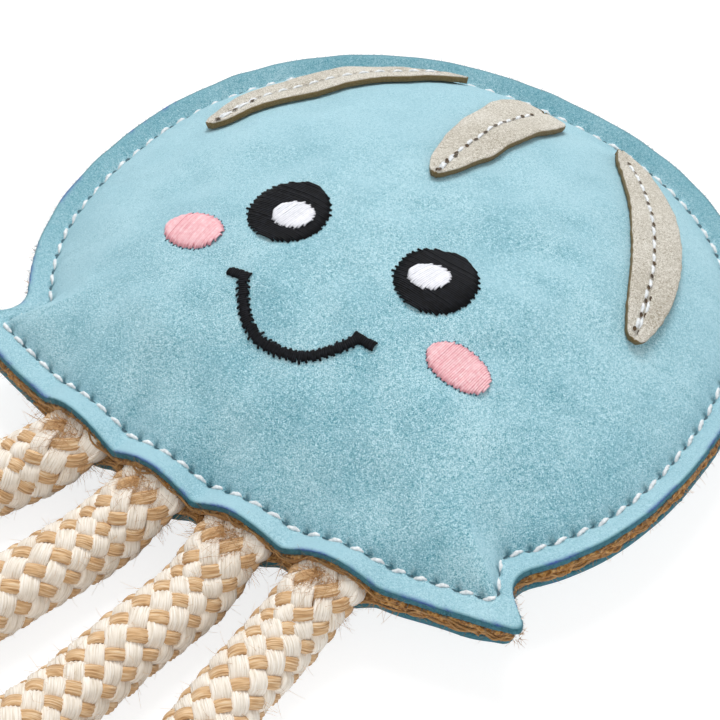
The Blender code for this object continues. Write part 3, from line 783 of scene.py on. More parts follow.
def fuzz(number, line):
    """Stray hairs over a rope, and a thicker growth where the seam grips it."""
    draw = np.random.default_rng(80 + number)
    count = ROPE_FUZZ + EXIT_FUZZ
    total = lengths_along(line)[-1]
    at = draw.uniform(ROPE_GRIP + 0.002, total, count)
    at[ROPE_FUZZ:] = ROPE_GRIP + 0.0003 + EXIT_FUZZ_REACH * draw.beta(1.0, 2.6, EXIT_FUZZ)
    sideways, upward = carried_frames(line)
    spot = np.searchsorted(lengths_along(line), at).clip(1, len(line) - 1)
    angle = draw.uniform(0.0, 2.0 * math.pi, count)
    ring = np.cos(angle)[:, None] * sideways[spot] + np.sin(angle)[:, None] * upward[spot]
    opened = eased(at, ROPE_GRIP, ROPE_GRIP + SPREAD_LENGTH)
    radius = ROPE_DIAMETER / 2.0 * (0.62 + 0.34 * opened)
    roots = line[spot] + ring * radius[:, None]
    forward = unit(line[spot] - line[spot - 1])
    brown = np.arange(count) >= ROPE_FUZZ
    lean = np.where(brown, 0.9, 0.5)[:, None]
    ways = unit(ring * 0.45 + draw.normal(size=(count, 3)) * 0.55 + forward * lean)
    lengths = draw.uniform(*ROPE_FUZZ_LENGTHS, count)
    lengths[brown] = draw.uniform(*EXIT_FUZZ_LENGTHS, EXIT_FUZZ)
    points, faces, uv = fibres(roots, ways, lengths, HAIR, 1.5, 120 + number)
    lots, looks = tube_lots(brown, 5 * 3), [JUTE, RAW_JUTE]
    return piece(f"rope_fuzz_{number + 1}", points, faces, looks, "braided_rope", lots=lots, uv=uv)


for number, (rope, knot, line, end, heading) in enumerate(TENTACLES):
    frayed = tassel(number, end, heading)
    hairs = fuzz(number, line)

# %% [markdown]
# ## Suede
# Suede is the flesh side of a hide, buffed to a short nap. It has no gloss. The nap lies this
# way and that, which mottles the colour in specks under a millimetre, and its hair ends catch
# light at a glancing angle. The shader's sheen gives that, along with a painted sheen: the pale
# colour mixed in where the surface turns away from the camera. The cut edge shows the dyed
# fibres end on, so it is darker and rougher. The mesh carries values for this: cut is 1 on the
# cut edge, and specks break up where it starts; margin and shaded are 1 outside the stitches,
# where margin paints light with the pale of brushed nap and shaded paints shade where the margin
# turns from the key lamp; one more value is 1 at a needle hole and paints the shade in it; and
# ink is a trace of marking pen.


# %% Suede look
SPECK = 0.00042
NAP = 0.00030
BRUSHED = 0.0130


def suede_look(name, tones, edge_tones, pale, ink, sheen, painted_sheen_share):
    """Suede from its three body tones, its two edge tones, the pale colour of brushed hair ends,
    which is also laid on as painted sheen and painted light, and the ink's colour. What lies over
    the body is mixed in one layer at a time."""
    values = {"Sheen_Weight": sheen, "Sheen_Roughness": 0.55, "Sheen_Tint": linear(pale)}
    look, tree, shader = new_look(name, Roughness=0.95, Specular_IOR_Level=0.15, **values)
    place = add(tree, "ShaderNodeTexCoord").outputs["Object"]
    specks, brushed, nap = (
        add(tree, "ShaderNodeTexNoise", inputs={"Vector": place, "Detail": 3.0, **grain}).outputs["Fac"]
        for grain in (
            {"Scale": 1.0 / SPECK, "Roughness": 0.72, "Distortion": 1.8},
            {"Scale": 1.0 / BRUSHED},
            {"Scale": 1.0 / NAP, "Roughness": 0.7},
        )
    )
    held = {}
    for value in ("margin", "shaded", "punched", "cut", "ink"):
        kept = add(tree, "ShaderNodeAttribute", settings={"attribute_name": value})
        held[value] = kept.outputs["Fac"]
    leaning = add(tree, "ShaderNodeLayerWeight", inputs={"Blend": 0.5}).outputs["Facing"]
    tone, ragged = (
        add(
            tree,
            "ShaderNodeMath",
            settings={"operation": "MULTIPLY_ADD"},
            inputs={0: first, 1: times, 2: more},
        ).outputs[0]
        for first, times, more in ((brushed, 0.16, specks), (specks, 1.2, held["cut"]))
    )
    painted_sheen, ragged, spots = (
        add(
            tree,
            "ShaderNodeMapRange",
            inputs={"Value": value, 1: low, 2: high, 3: least, 4: most},
        ).outputs[0]
        for value, low, high, least, most in (
            (leaning, 0.04, 0.55, 0.0, painted_sheen_share),
            (ragged, 0.76, 1.12, 0.0, 1.0),
            (specks, 0.42, 0.58, 0.25, 0.95),
        )
    )
    body, edge = (
        add(tree, "ShaderNodeValToRGB", settings={"stops": stops}, inputs={"Fac": value}).outputs[0]
        for stops, value in (
            (list(zip((0.48, 0.58, 0.68), tones)), tone),
            (list(zip((0.35, 0.7), edge_tones)), specks),
        )
    )
    # Painted sheen where the surface turns from the camera, painted light and painted shade on the
    # margin, painted shade in the needle holes, then the cut edge and the ink, which are the suede's
    # own.
    layers = (
        (painted_sheen, 1.0, linear(pale)),
        (held["margin"], 0.35, linear(pale)),
        (held["shaded"], 0.38, linear(edge_tones[1])),
        (held["punched"], 0.95, linear(edge_tones[0])),
        (ragged, 1.0, edge),
        (held["ink"], spots, linear(ink)),
    )
    shown = body
    for value, share, colour in layers:
        much = add(
            tree,
            "ShaderNodeMath",
            settings={"operation": "MULTIPLY"},
            inputs={0: value, 1: share},
        )
        shown = add(
            tree,
            "ShaderNodeMix",
            settings={"data_type": "RGBA"},
            inputs={0: much.outputs[0], 6: shown, 7: colour},
        ).outputs[2]
    raised = add(
        tree,
        "ShaderNodeBump",
        inputs={"Height": nap, "Strength": 1.0, "Distance": 0.0004},
    )
    tree.links.new(shown, shader.inputs["Base Color"])
    tree.links.new(raised.outputs["Normal"], shader.inputs["Normal"])
    return look


BLUE_TONES, BLUE_EDGE = ("#4F90A2", "#8DC2CF", "#D0EDF4"), ("#1F5563", "#4B8896")
TAUPE_TONES, TAUPE_EDGE = ("#8A7F6A", "#C5BFB2", "#EAE7DF"), ("#5A4A2C", "#8C7850")
# The last number of each is the share of painted sheen.
BLUE_SUEDE = suede_look("napped_blue_suede", BLUE_TONES, BLUE_EDGE, "#AACFDA", "#3B3FA8", 0.30, 0.66)
TAUPE_SUEDE = suede_look(
    "napped_taupe_suede", TAUPE_TONES, TAUPE_EDGE, "#D3CFC5", "#6A5AA0", 0.20, 0.20
)
print("looks:", BLUE_SUEDE.name, TAUPE_SUEDE.name)

# %% [markdown]
# ## The panels
# Each panel is a skin worked out ring by ring. A ring is the stitch line drawn in to a share
# of its size, with softer corners the further in it is. Over the seam the panel rises by
# 1 - share^2.4, to the power 0.75: steep at the stitches and flat in the middle, as a hard
# stuffed pillow is. The stitches pull a valley round it with a dip at every needle hole, and
# from there soft puckers fade inwards. Outside the stitches the two panels lie flat.


# %% Rings
def softened(loop, reach):
    """A closed loop averaged along itself with bell-curve weights of the given reach."""
    if reach == 0.0:
        return loop
    count = 1440
    along = lengths_along(closed(loop))
    dense = evenly(closed(loop), count + 1)[:-1]
    off = np.minimum(np.arange(count), count - np.arange(count)) * along[-1] / count
    weight = np.exp(-0.5 * (off / reach) ** 2)
    weight = np.fft.rfft(weight / weight.sum())[:, None]
    smooth = np.fft.irfft(np.fft.rfft(dense, axis=0) * weight, count, axis=0)
    return read_table(along[:-1] / along[-1] * count, np.arange(count + 1), closed(smooth))


def ring_loop(share):
    reach = min(CORNER_SOFTENING * (1.0 - share), CORNER_SOFTEST)
    middle = np.array([0.0, DOME_Y])
    return middle + share * (softened(STITCHED, reach) - middle)


PINCH_ROUNDING = 0.16
SEWN_ARCH = 0.5


def rope_arch(plan, share, out):
    """Height over the ropes: cosine arches one pitch wide, (root(c^2 + r^2) - r) so that the
    pinch between two is round. They are pressed down to half at the stitches, and fade."""
    off = np.abs(plan[..., :1] - ROPE_EXITS) / (ROPE_PITCH / 2.0)
    wave = np.cos(np.clip(off, 0.0, 1.0) * math.pi / 2.0).max(axis=-1)
    most = math.hypot(1.0, PINCH_ROUNDING) - PINCH_ROUNDING
    arch = ROPE_ARCH * (np.hypot(wave, PINCH_ROUNDING) - PINCH_ROUNDING) / most
    fade = np.clip((share - ARCH_FADE_FROM) / (1.0 - ARCH_FADE_FROM), 0.0, 1.0)
    fade = SEWN_ARCH * fade + (1.0 - SEWN_ARCH) * out
    return np.where(plan[..., 1] < DOME_Y, arch * fade, 0.0)


RING_COUNT = 60
SHARES = 1.0 - (1.0 - np.linspace(0.0, 1.0, RING_COUNT)) ** 1.3
OUTS = np.linspace(0.0, 1.0, 10)[1:]
RING_PLAN = np.stack([ring_loop(share) for share in SHARES])
OUT_PLAN = STITCHED + (CUT - STITCHED) * OUTS[:, None, None]
PLAN = np.vstack([RING_PLAN, OUT_PLAN])
ROW_SHARE = np.concatenate([SHARES, np.ones(len(OUTS))])[:, None]
ROW_OUT = np.concatenate([np.zeros(RING_COUNT), OUTS])[:, None]
FROM_STITCH = np.linalg.norm(PLAN - STITCHED, axis=-1)
ROUND = lengths_along(closed(STITCHED))
STITCH_COUNT = round(ROUND[-1] / 0.0050)
STITCH_PITCH = ROUND[-1] / STITCH_COUNT
print("stitches round the seam:", STITCH_COUNT, "pitch, mm:", round(STITCH_PITCH * 1000, 2))


# %% [markdown]
# ### How high the suede lies
# A cloth simulation could blow the pillow up, but its stitches, linings and face would then
# have to be found again. Here the height at each place is a sum of plain causes: filling,
# arches over the ropes, the seam's valley and puckers, and slow waves of uneven stuffing.

# %% Height of a side
VALLEY = 0.0007
VALLEY_WIDTH = 0.0012
PUCKER = 0.00026
PUCKER_REACH = 0.0060
PUCKER_START = 0.0020
PUCKER_PITCH = 0.0098
SEAM_OPENING = 0.0005
MARGIN_CURL = 0.0012
EDGE_ROUNDING = 0.0003
FULL_PUFF_AT = 0.0600
FLARE_SINK = 0.0020


def from_seam():
    """The distance from every place inside the stitches to the nearest of them."""
    apart = [np.linalg.norm(row[:, None] - STITCHED[::4], axis=-1).min(axis=-1) for row in PLAN]
    return np.stack(apart)


def lift(side):
    """How far a side's outer surface lies from the middle of the seam, at every ring. In the
    two flares the filling is thin, so the front sinks there by tanh of what is too high."""
    rise = (1.0 - np.clip(ROW_SHARE, 0.0, 1.0) ** PUFF_ROUNDNESS) ** PUFF_STEEPNESS
    rise = FRONT_PUFF * rise if side > 0 else BACK_PUFF * rise
    if side > 0:
        near = 1.0 - np.clip(from_seam() / FULL_PUFF_AT, 0.0, 1.0)
        filled = FRONT_PUFF * (1.0 - near**PUFF_ROUNDNESS) ** PUFF_STEEPNESS
        too_high = np.maximum(rise - filled, 0.0)
        rise = rise - FLARE_SINK * np.tanh(too_high / FLARE_SINK)
    height = LAYERS + rise + rope_arch(PLAN, ROW_SHARE, ROW_OUT)
    on_dome = eased(PLAN[..., 1], TIP_Y, DOME_Y)
    height = height + SEAM_OPENING * ROW_OUT**2 + side * MARGIN_CURL * on_dome * ROW_OUT**1.5
    height = height - EDGE_ROUNDING * np.clip((ROW_OUT - 0.8) / 0.2, 0.0, 1.0) ** 2
    along = ROUND[:-1]
    hole = 0.62 + 0.38 * np.cos(2.0 * math.pi * along / STITCH_PITCH)
    valley = VALLEY * hole * np.exp(-((FROM_STITCH / VALLEY_WIDTH) ** 2))
    turn = 2.0 * math.pi * along / ROUND[-1]
    turned = np.stack([np.cos(turn), np.sin(turn)], axis=1)
    drift = waves(turned * 0.08, 0.030, 5 + side)
    inside = np.exp(-FROM_STITCH / PUCKER_REACH) * (1.0 - np.exp(-FROM_STITCH / PUCKER_START))
    pucker = PUCKER * inside * np.cos(2.0 * math.pi * along / PUCKER_PITCH + 2.5 * drift)
    pucker = np.where(ROW_OUT > 0.0, 0.0, pucker)
    soft = 0.00045 * waves(PLAN, 0.034, 11 + side) + 0.00016 * waves(PLAN, 0.013, 12 + side)
    soft = soft * (1.0 - ROW_SHARE**6)
    flutter = 0.00010 * ROW_OUT * waves(turned * 0.08, 0.012, 21 + side)
    height = height - valley + pucker + soft + flutter
    if side < 0:
        height = np.minimum(height, SEAM_HEIGHT)
    return height


FRONT_LIFT, BACK_LIFT = lift(1), lift(-1)
print("front rises to, mm:", round((SEAM_HEIGHT + FRONT_LIFT.max()) * 1000, 1))


# %% [markdown]
# ### Sheets with an edge
# Suede and jute cloth have a thickness that shows at the cut edge. Each sheet is closed: an
# outer side, a rounded wall at the cut and an inner side back to the middle. A Solidify
# modifier would give a thickness too, but an even wall that couldn't be ragged.

# %% Skins
def edge_ways(loop):
    """The way out of a loop at each point: its tangent turned a quarter to the right."""
    step = np.roll(loop, -1, axis=0) - np.roll(loop, 1, axis=0)
    return unit(np.stack([step[:, 1], -step[:, 0]], axis=1))


CLOSED_CUT = closed(CUT)
CUT_WAYS = edge_ways(CUT)
WALL = np.array([0.10, 0.30, 0.5, 0.7, 0.90])
UNDER_ROWS = (RING_COUNT + 5, RING_COUNT - 1, 46, 34, 20, 8)
SHORT_TIP = 0.0026
SHORT_REACH = 0.0085


def short_tip():
    """The lower layers were cut a little short at the right flare's tip. This is how far
    each place is drawn in there, by a bell curve round the tip."""
    corner = np.array([FLARE_HALF_WIDTH, TIP_Y])
    near = np.exp(-np.sum((PLAN - corner) ** 2, axis=-1) / SHORT_REACH**2)
    return near[..., None] * SHORT_TIP * np.array([1.0, 0.0]) * ROW_OUT[..., None]


def skin(side, height, depth, thickness, rows, bulge, drawn_in=None, ravelled=0.0):
    """A closed sheet: its outer rows from the middle out, a rounded wall at the cut edge, and
    its inner side back to the middle. Ravelled is what its cut edge swells by. Returns
    points, faces and which rows are the wall."""
    kept = list(rows)
    plan = PLAN if drawn_in is None else PLAN - drawn_in
    z = SEAM_HEIGHT + side * (height - depth)
    outer = np.concatenate([plan[kept], z[kept][..., None]], axis=-1)
    shape = np.sin(WALL * math.pi)[:, None, None] * bulge[None, :, None]
    wall_plan = plan[-1] + CUT_WAYS * shape
    wall_z = z[-1] - side * (thickness + ravelled) * WALL[:, None]
    wall = np.concatenate([wall_plan, wall_z[..., None]], axis=-1)
    under = list(UNDER_ROWS)
    inner_z = z[under] - side * (thickness + ravelled * ROW_OUT[under] ** 2)
    inner = np.concatenate([plan[under], inner_z[..., None]], axis=-1)
    grid = np.concatenate([outer[1:], wall, inner])
    count = len(grid)
    points = np.vstack([outer[:1, 0], grid.reshape(-1, 3), inner[-1:].mean(axis=1)])
    here, after = np.arange(AROUND), np.roll(np.arange(AROUND), -1)
    quads = 1 + grid_faces(count, AROUND)[:, [0, 3, 2, 1]]
    first = np.stack([np.zeros_like(here), 1 + here, 1 + after], axis=1)
    last_row, last = 1 + (count - 1) * AROUND, len(points) - 1
    closing = np.stack([last_row + here, np.full_like(here, last), last_row + after], axis=1)
    faces = [f[:, ::-1] if side < 0 else f for f in (quads, first, closing)]
    on_wall = np.zeros((count, AROUND))
    on_wall[len(kept) - 1 : len(kept) - 1 + len(WALL)] = 1.0
    outside = np.zeros((count, AROUND))
    outside[: len(kept) - 1] = np.clip(ROW_OUT[kept][1:] * 3.0, 0.0, 1.0)
    return points, [f for lot in faces for f in lot.tolist()], on_wall, outside, len(kept)


def with_poles(rows):
    return np.concatenate([[rows[0, 0]], rows.ravel(), [rows[-1, 0]]])


# %% [markdown]
# ### The two suede panels
# Front and back are the same sheet with different heights. Each of its points carries five
# values that tell the suede's look where it is cut, where it is inked, where a needle hole is
# whose shade is painted, and where the margin is, with painted light on one part of it and
# painted shade on another, so that the colours follow the sewing exactly.

# %% Front and back panels
ALL_ROWS = range(len(PLAN))
HOLE_REACH = 0.0006
HOLE_INSET = 0.0002
# The way across the plan towards which the margin carries painted shade rather than painted light.
SHADED_MARGIN_WAY = np.array([-0.45, 0.90])


def panel(name, side, height, node):
    """A suede panel, with a broken line of marking pen along its cut edge."""
    rough = 0.00016 * (1.0 + waves(CUT, 0.0018, 31 + side))
    drawn_in = short_tip() if side < 0 else None
    points, faces, wall, outside, kept = skin(
        side, height, 0.0, SUEDE, ALL_ROWS, rough, drawn_in
    )
    marked = np.clip(waves(CUT, 0.018, 41) * 0.9 + waves(CUT, 0.0040, 42) * 0.7, 0.0, 1.0)
    marked = marked * (CUT[:, 1] < 0.020)
    ink = np.zeros_like(wall)
    ink[kept - 3] = marked * 0.3
    ink[kept - 2] = marked
    ink[kept - 1] = marked * 0.5
    wall[kept - 2], wall[kept - 3] = 0.42, 0.12
    # Painted shade in the needle holes: 1 at each hole, set a little inside the stitch line, falling
    # off by a bell curve.
    inside = STITCHED - edge_ways(STITCHED) * HOLE_INSET
    holes = read_table(np.arange(STITCH_COUNT) * STITCH_PITCH, ROUND, closed(inside))
    punched = np.zeros_like(wall)
    near = [row for row in range(1, kept) if FROM_STITCH[row].min() < 0.0016]
    apart = np.linalg.norm(PLAN[near][:, :, None] - holes, axis=-1).min(axis=-1)
    punched[np.array(near) - 1] = np.exp(-((apart / HOLE_REACH) ** 2))
    # Painted shade on the margin towards the crown and the left, where it turns from the key lamp, and
    # painted light with the pale of brushed nap on the rest of it.
    away = eased(unit(CUT) @ SHADED_MARGIN_WAY, -0.3, 0.25)
    values = {"cut": with_poles(wall), "ink": with_poles(ink), "punched": with_poles(punched)}
    values["margin"] = with_poles(outside * (1.0 - away))
    values["shaded"] = with_poles(outside * away)
    return piece(name, points, faces, [BLUE_SUEDE], "blue_suede", [node], **values)


FRONT = panel("suede_front", 1, FRONT_LIFT, "front_panel")
BACK = panel("suede_back", -1, BACK_LIFT, "back_panel")

# %% [markdown]
# ## The jute linings
# Under each panel lies coarse jute cloth, cut with it. Only its edge shows, as a brown band
# in the seam. Cut jute ravels, so the edge is uneven and grows loose hairs, most of all where
# it is pinched between two ropes.


# %% Jute cloth look
# Ravelled cloth shows clumps of fibre, about a millimetre across, in four browns.
CLUMP = 0.0011
JUTE_CLOTH = fibre_look(
    "ravelled_jute_cloth",
    [(0.32, "#42290F"), (0.46, "#94642F"), (0.60, "#C99A5B"), (0.76, "#EAC890")],
    {"Scale": 1.0 / CLUMP, "Detail": 4.0, "Roughness": 0.7},
    1.0,
    0.0008,
    Roughness=1.0,
    Sheen_Weight=0.2,
    Specular_IOR_Level=0.1,
)
print("look:", JUTE_CLOTH.name)

# %% Linings
LINING_ROWS = (*range(0, RING_COUNT - 2, 6), *range(RING_COUNT - 2, len(PLAN)))
RAVEL = 0.0003
RAVEL_SWELL = 0.0005


def lining(name, side, height, node):
    ragged = RAVEL * (0.9 + 0.6 * waves(CUT, 0.0030, 51 + side) + 0.5 * waves(CUT, 0.012, 53 + side))
    depth = SUEDE + LAYER_GAP
    drawn_in = short_tip() * (1.0 if side < 0 else 0.6)
    points, faces, _, _, _ = skin(
        side, height, depth, LINING, LINING_ROWS, ragged, drawn_in, RAVEL_SWELL
    )
    return piece(name, points, faces, [JUTE_CLOTH], "jute_cloth", [node])


lining("jute_lining_front", 1, FRONT_LIFT, "front_lining")
lining("jute_lining_back", -1, BACK_LIFT, "back_lining")

# %% [markdown]
# ### What the cut edges shed
# A cut edge is never clean. Jute sheds hairs and whole yarns that lie loose along it, and
# suede a short fuzz. All of it grows at random places round the outline, in a seeded draw,
# because loose fibre that is placed by a formula looks like a comb.

# %% Hairs of the cut jute
EDGE_HAIRS = 2600
EDGE_HAIR = 0.00012
EDGE_HAIR_LENGTHS = (0.0006, 0.0020)
PINCHED_REACH = 0.0040


def round_the_cut(draw, count):
    """Random places round the cut edge: plan, number of the outline's point, and way out."""
    along = lengths_along(CLOSED_CUT)
    at = draw.uniform(0.0, along[-1], count)
    index = np.searchsorted(along, at) % AROUND
    return read_along(CLOSED_CUT, at), index, CUT_WAYS[index]


def strewn(draw, out, rise, stray):
    """Ways out of the edge that also rise or fall, and stray, by a random share."""
    ways = np.column_stack([out, draw.normal(0.0, rise, len(out))])
    return unit(ways + draw.normal(size=(len(out), 3)) * stray)


def edge_hairs():
    draw = np.random.default_rng(61)
    plan, index, out = round_the_cut(draw, EDGE_HAIRS)
    layer = draw.choice([-1.0, 1.0], EDGE_HAIRS)
    height = np.where(layer > 0, FRONT_LIFT[-1][index], BACK_LIFT[-1][index])
    deep = SUEDE + LAYER_GAP + LINING * draw.uniform(0.1, 0.9, EDGE_HAIRS)
    roots = np.column_stack([plan - out * 0.0004, SEAM_HEIGHT + layer * (height - deep)])
    ways = strewn(draw, out, 0.35, 0.45)
    near = np.abs(np.abs(plan[:, 0])[:, None] - np.abs(ROPE_EXITS - ROPE_PITCH / 2.0)).min(axis=1)
    pinched = (plan[:, 1] < TIP_Y) & (near < PINCHED_REACH)
    lengths = draw.uniform(*EDGE_HAIR_LENGTHS, EDGE_HAIRS) * np.where(pinched, 1.9, 1.0)
    points, faces, uv = fibres(roots, ways, lengths, EDGE_HAIR, 0.8, 62)
    return piece("jute_edge_hairs", points, faces, [RAW_JUTE], "jute_cloth", uv=uv)


edge_hairs()

# %% Fuzz of the cut suede
SUEDE_FUZZ = 5600
SUEDE_FUZZ_LENGTHS = (0.0003, 0.0008)


def suede_fuzz():
    """The front panel's cut edge is fuzzy too: short fibres stand out of its wall."""
    draw = np.random.default_rng(63)
    plan, index, out = round_the_cut(draw, SUEDE_FUZZ)
    z = SEAM_HEIGHT + FRONT_LIFT[-1][index] - SUEDE * draw.uniform(0.04, 0.98, SUEDE_FUZZ)
    roots = np.column_stack([plan - out * 0.0001, z])
    ways = strewn(draw, out, 0.4, 0.5)
    lengths = draw.uniform(*SUEDE_FUZZ_LENGTHS, SUEDE_FUZZ)
    points, faces, _ = fibres(roots, ways, lengths, HAIR, 0.9, 64)
    cut = np.ones(len(points))
    return piece("suede_edge_fuzz", points, faces, [BLUE_SUEDE], "blue_suede", cut=cut)


suede_fuzz()

# %% Ravelled yarns
EDGE_YARNS = 210
EDGE_YARN = 0.00052
EDGE_YARN_LENGTHS = (0.008, 0.022)
EDGE_YARN_STEPS = 26


def edge_yarns():
    """Yarns of the cloth that run along its cut edge and have come loose: each wanders in
    and out and up and down by smooth noise along a stretch of the outline."""
    draw = np.random.default_rng(65)
    twice = np.vstack([CUT, CLOSED_CUT])
    along = lengths_along(twice)
    start = draw.uniform(0.0, along[-1] / 2.0, (EDGE_YARNS, 1))
    length = draw.uniform(*EDGE_YARN_LENGTHS, (EDGE_YARNS, 1))
    at = start + length * np.linspace(0.0, 1.0, EDGE_YARN_STEPS)
    plan = read_along(twice, at)
    out = read_table(at, along, np.vstack([CUT_WAYS, closed(CUT_WAYS)]))
    layer = np.where(np.arange(EDGE_YARNS) % 2, 1.0, -1.0)[:, None]
    tops = [np.interp(at, along, np.tile(h[-1], 3)[: len(along)]) for h in (FRONT_LIFT, BACK_LIFT)]
    height = np.where(layer > 0, tops[0], tops[1])
    own = np.broadcast_to(np.arange(EDGE_YARNS)[:, None] * 0.05, at.shape)
    spot = np.stack([at, own], axis=-1)
    deep = SUEDE + LAYER_GAP + (LINING + RAVEL_SWELL) * (0.5 + 0.35 * waves(spot, 0.010, 66))
    z = SEAM_HEIGHT + layer * (height - deep)
    on_dome = eased(plan[..., 1], TIP_Y, DOME_Y)
    beyond = 0.0002 - 0.0004 * on_dome + 0.0003 * waves(spot, 0.007, 67)
    centres = np.concatenate([plan + out * beyond[..., None], z[..., None]], axis=-1)
    corner = np.exp(-np.sum((plan - (FLARE_HALF_WIDTH, TIP_Y)) ** 2, axis=-1) / SHORT_REACH**2)
    centres[..., 0] -= corner * SHORT_TIP * 0.8
    upward = np.broadcast_to((0.0, 0.0, 1.0), centres.shape)
    points, faces = strands(centres, upward, circle(5) * EDGE_YARN / 2.0)
    u = np.broadcast_to(at[..., None] * 1000.0, (EDGE_YARNS, EDGE_YARN_STEPS, 5))
    turn = np.arange(5) * 2.0 * math.pi / 5.0
    uv = flat_pairs(u, np.broadcast_to(turn + np.arange(EDGE_YARNS)[:, None, None] * 3.0, u.shape))
    return piece("ravelled_edge_yarns", points, faces, [RAW_JUTE], "jute_cloth", uv=uv)


edge_yarns()

# %% [markdown]
# ## Sewing thread
# A lockstitch shows as a row of short, fat dashes. Each comes up out of one needle hole and
# dives into the next, a little aslant, and its two plies twist round each other. The holes
# are punched wide by the needle, and the shadow in them is almost black.


# %% Thread and hole looks
def thread_look(name, dark, light, sheen):
    """Polyester thread: plain, slightly glossy fibres under a millimetre long."""
    stops = [(0.35, dark), (0.65, light)]
    grain = {"Scale": 1400.0, "Detail": 2.0}
    values = {"Roughness": 0.55, "Sheen_Weight": sheen, "Specular_IOR_Level": 0.4}
    return fibre_look(name, stops, grain, 0.5, 0.0002, **values)


WHITE_THREAD = thread_look("white_polyester_thread", "#C3C8CB", "#E4E7E8", 0.1)
# Painted shadow in the needle holes: flat dark discs in blue suede and in taupe suede.
HOLE = thread_look("needle_hole_shadow", "#0E3642", "#1F5866", 0.0)
TAUPE_HOLE_SHADOW = thread_look("needle_hole_shadow_in_taupe", "#2A1C0C", "#4E3A1E", 0.0)


# %% Stitches
def stitches(line, upward, count, thread, slant, seed, share=0.66):
    """Two-ply dashes along a line, and at every needle place a flat dark disc of painted shadow in
    the hole. Along a dash the thread's height is sin(pi t)^0.4, so it bulges and dives at both ends."""
    draw = np.random.default_rng(seed)
    along = lengths_along(line)
    pitch = along[-1] / count
    t = np.linspace(0.0, 1.0, 11)
    start = np.arange(count)[:, None] + (1.0 - share) / 2.0 + draw.normal(0.0, 0.03, (count, 1))
    at = np.clip((start + share * t) * pitch, 0.0, along[-1])
    centres = read_along(line, at)
    normal = unit(read_table(at, along, upward))
    sideways = np.cross(normal, unit(np.gradient(centres, axis=1)))
    bulge = thread * (-0.45 + 0.70 * np.sin(math.pi * t) ** 0.4)
    lean = slant * (t - 0.5) + draw.normal(0.0, 0.00010, (count, 1))
    centres = centres + normal * bulge[None, :, None] + sideways * lean[..., None]
    turn = np.linspace(0.0, 2.0 * math.pi, 9)[:-1]
    twist = 2.0 * math.pi * (1.4 * t[None, :, None] + draw.uniform(0.0, 1.0, (count, 1, 1)))
    plies = thread / 2.0 * (1.0 + 0.17 * np.cos(2.0 * (turn - twist)))
    plies = plies * np.sqrt(np.sin(math.pi * (0.05 + 0.90 * t)))[:, None]
    profile = np.stack([plies * np.cos(turn), plies * np.sin(turn) * 0.85], axis=-1)
    dashes = strands(centres, normal, profile)
    holes_at = np.arange(count + 1) * pitch
    places = read_along(line, np.minimum(holes_at, along[-1]))
    ups = unit(read_table(holes_at, along, upward))
    towards = unit(np.gradient(places, axis=0))
    beside = np.cross(ups, towards)
    ring = circle(8) * (0.78, 0.60) * thread
    shift = draw.normal(0.0, 0.12, (count + 1, 1)) * thread + thread * 0.12
    middle = places + beside * shift + ups * 0.00020
    rim = middle[:, None] + towards[:, None] * ring[:, :1] + beside[:, None] * ring[:, 1:]
    rim = rim + ups[:, None] * 0.00010
    points = np.concatenate([middle[:, None], rim], axis=1).reshape(-1, 3)
    first = np.arange(count + 1)[:, None] * 9
    here, after = 1 + np.arange(8), 1 + np.roll(np.arange(8), -1)
    faces = np.stack([np.broadcast_to(first, (count + 1, 8)), first + here, first + after], -1)
    return dashes, (points, faces.reshape(-1, 3).tolist())


SEAM_THREAD = 0.0010


def seam_stitches(name, side, height):
    line = closed(np.column_stack([STITCHED, SEAM_HEIGHT + side * height[RING_COUNT - 1]]))
    upward = np.tile((0.0, 0.0, float(side)), (len(line), 1))
    dashes, holes = stitches(line, upward, STITCH_COUNT, SEAM_THREAD, 0.0007, 71 + side)
    points, faces, lots = together(dashes, holes)
    return piece(name, points, faces, [WHITE_THREAD, HOLE], "white_thread", lots=lots)


seam_stitches("seam_stitches_front", 1, FRONT_LIFT)
seam_stitches("seam_stitches_back", -1, BACK_LIFT)

# %% [markdown]
# ## Laying pieces on the puffed panel
# The crescents and the embroidery are planned flat and then dropped on the panel: a ray from
# above finds the height and the way out of the surface at each place of the plan.


# %% Dropper
def dropper(made):
    tree = BVHTree.FromObject(made, bpy.context.evaluated_depsgraph_get())

    def drop(plan):
        """Points and normals of the surface under an array of plan places."""
        flat = plan.reshape(-1, 2)
        hits = [tree.ray_cast(Vector((x, y, 1.0)), Vector((0.0, 0.0, -1.0))) for x, y in flat]
        points = np.array([tuple(hit[0]) for hit in hits]).reshape(*plan.shape[:-1], 3)
        normals = np.array([tuple(hit[1]) for hit in hits]).reshape(*plan.shape[:-1], 3)
        return points, normals

    return drop


bpy.context.view_layer.update()
on_front = dropper(FRONT)

# %% [markdown]
# ## The suede crescents
# Three scraps of taupe suede are sewn down along their middles. A crescent's cross-section is
# a table of places across it and heights over the panel, so its cut edges are real walls.

# %% Crescents
PATCH_THICKNESS = 0.0016
PATCH_GAP = 0.0005
SIDE_PATCH_LINE = ((0.0215, 0.0600), (0.0452, 0.0370), (0.0580, 0.0070))
SIDE_PATCH_WIDTH = 0.0112
SIDE_PATCH_ENDS = (0.50, 0.42)
MIDDLE_PATCH_LINE = ((0.0012, 0.0585), (0.0006, 0.0360), (0.0012, 0.0135))
MIDDLE_PATCH_WIDTH = 0.0165
MIDDLE_PATCH_ENDS = (0.12, 0.50)
PATCH_END_WIDTH = 0.0016
PATCH_ROWS = 90
PATCH_THREAD = 0.00085
ACROSS = np.concatenate([[1.0, 0.97], np.linspace(0.88, -0.88, 13), [-0.97, -1.0]])
HEIGHTS = np.concatenate([[0.72, 0.95], np.ones(13), [0.95, 0.72]])
BELOW = np.array([[-1.0, 0.35], [-0.97, 0.0], [-0.4, 0.0], [0.4, 0.0], [0.97, 0.0], [1.0, 0.35]])


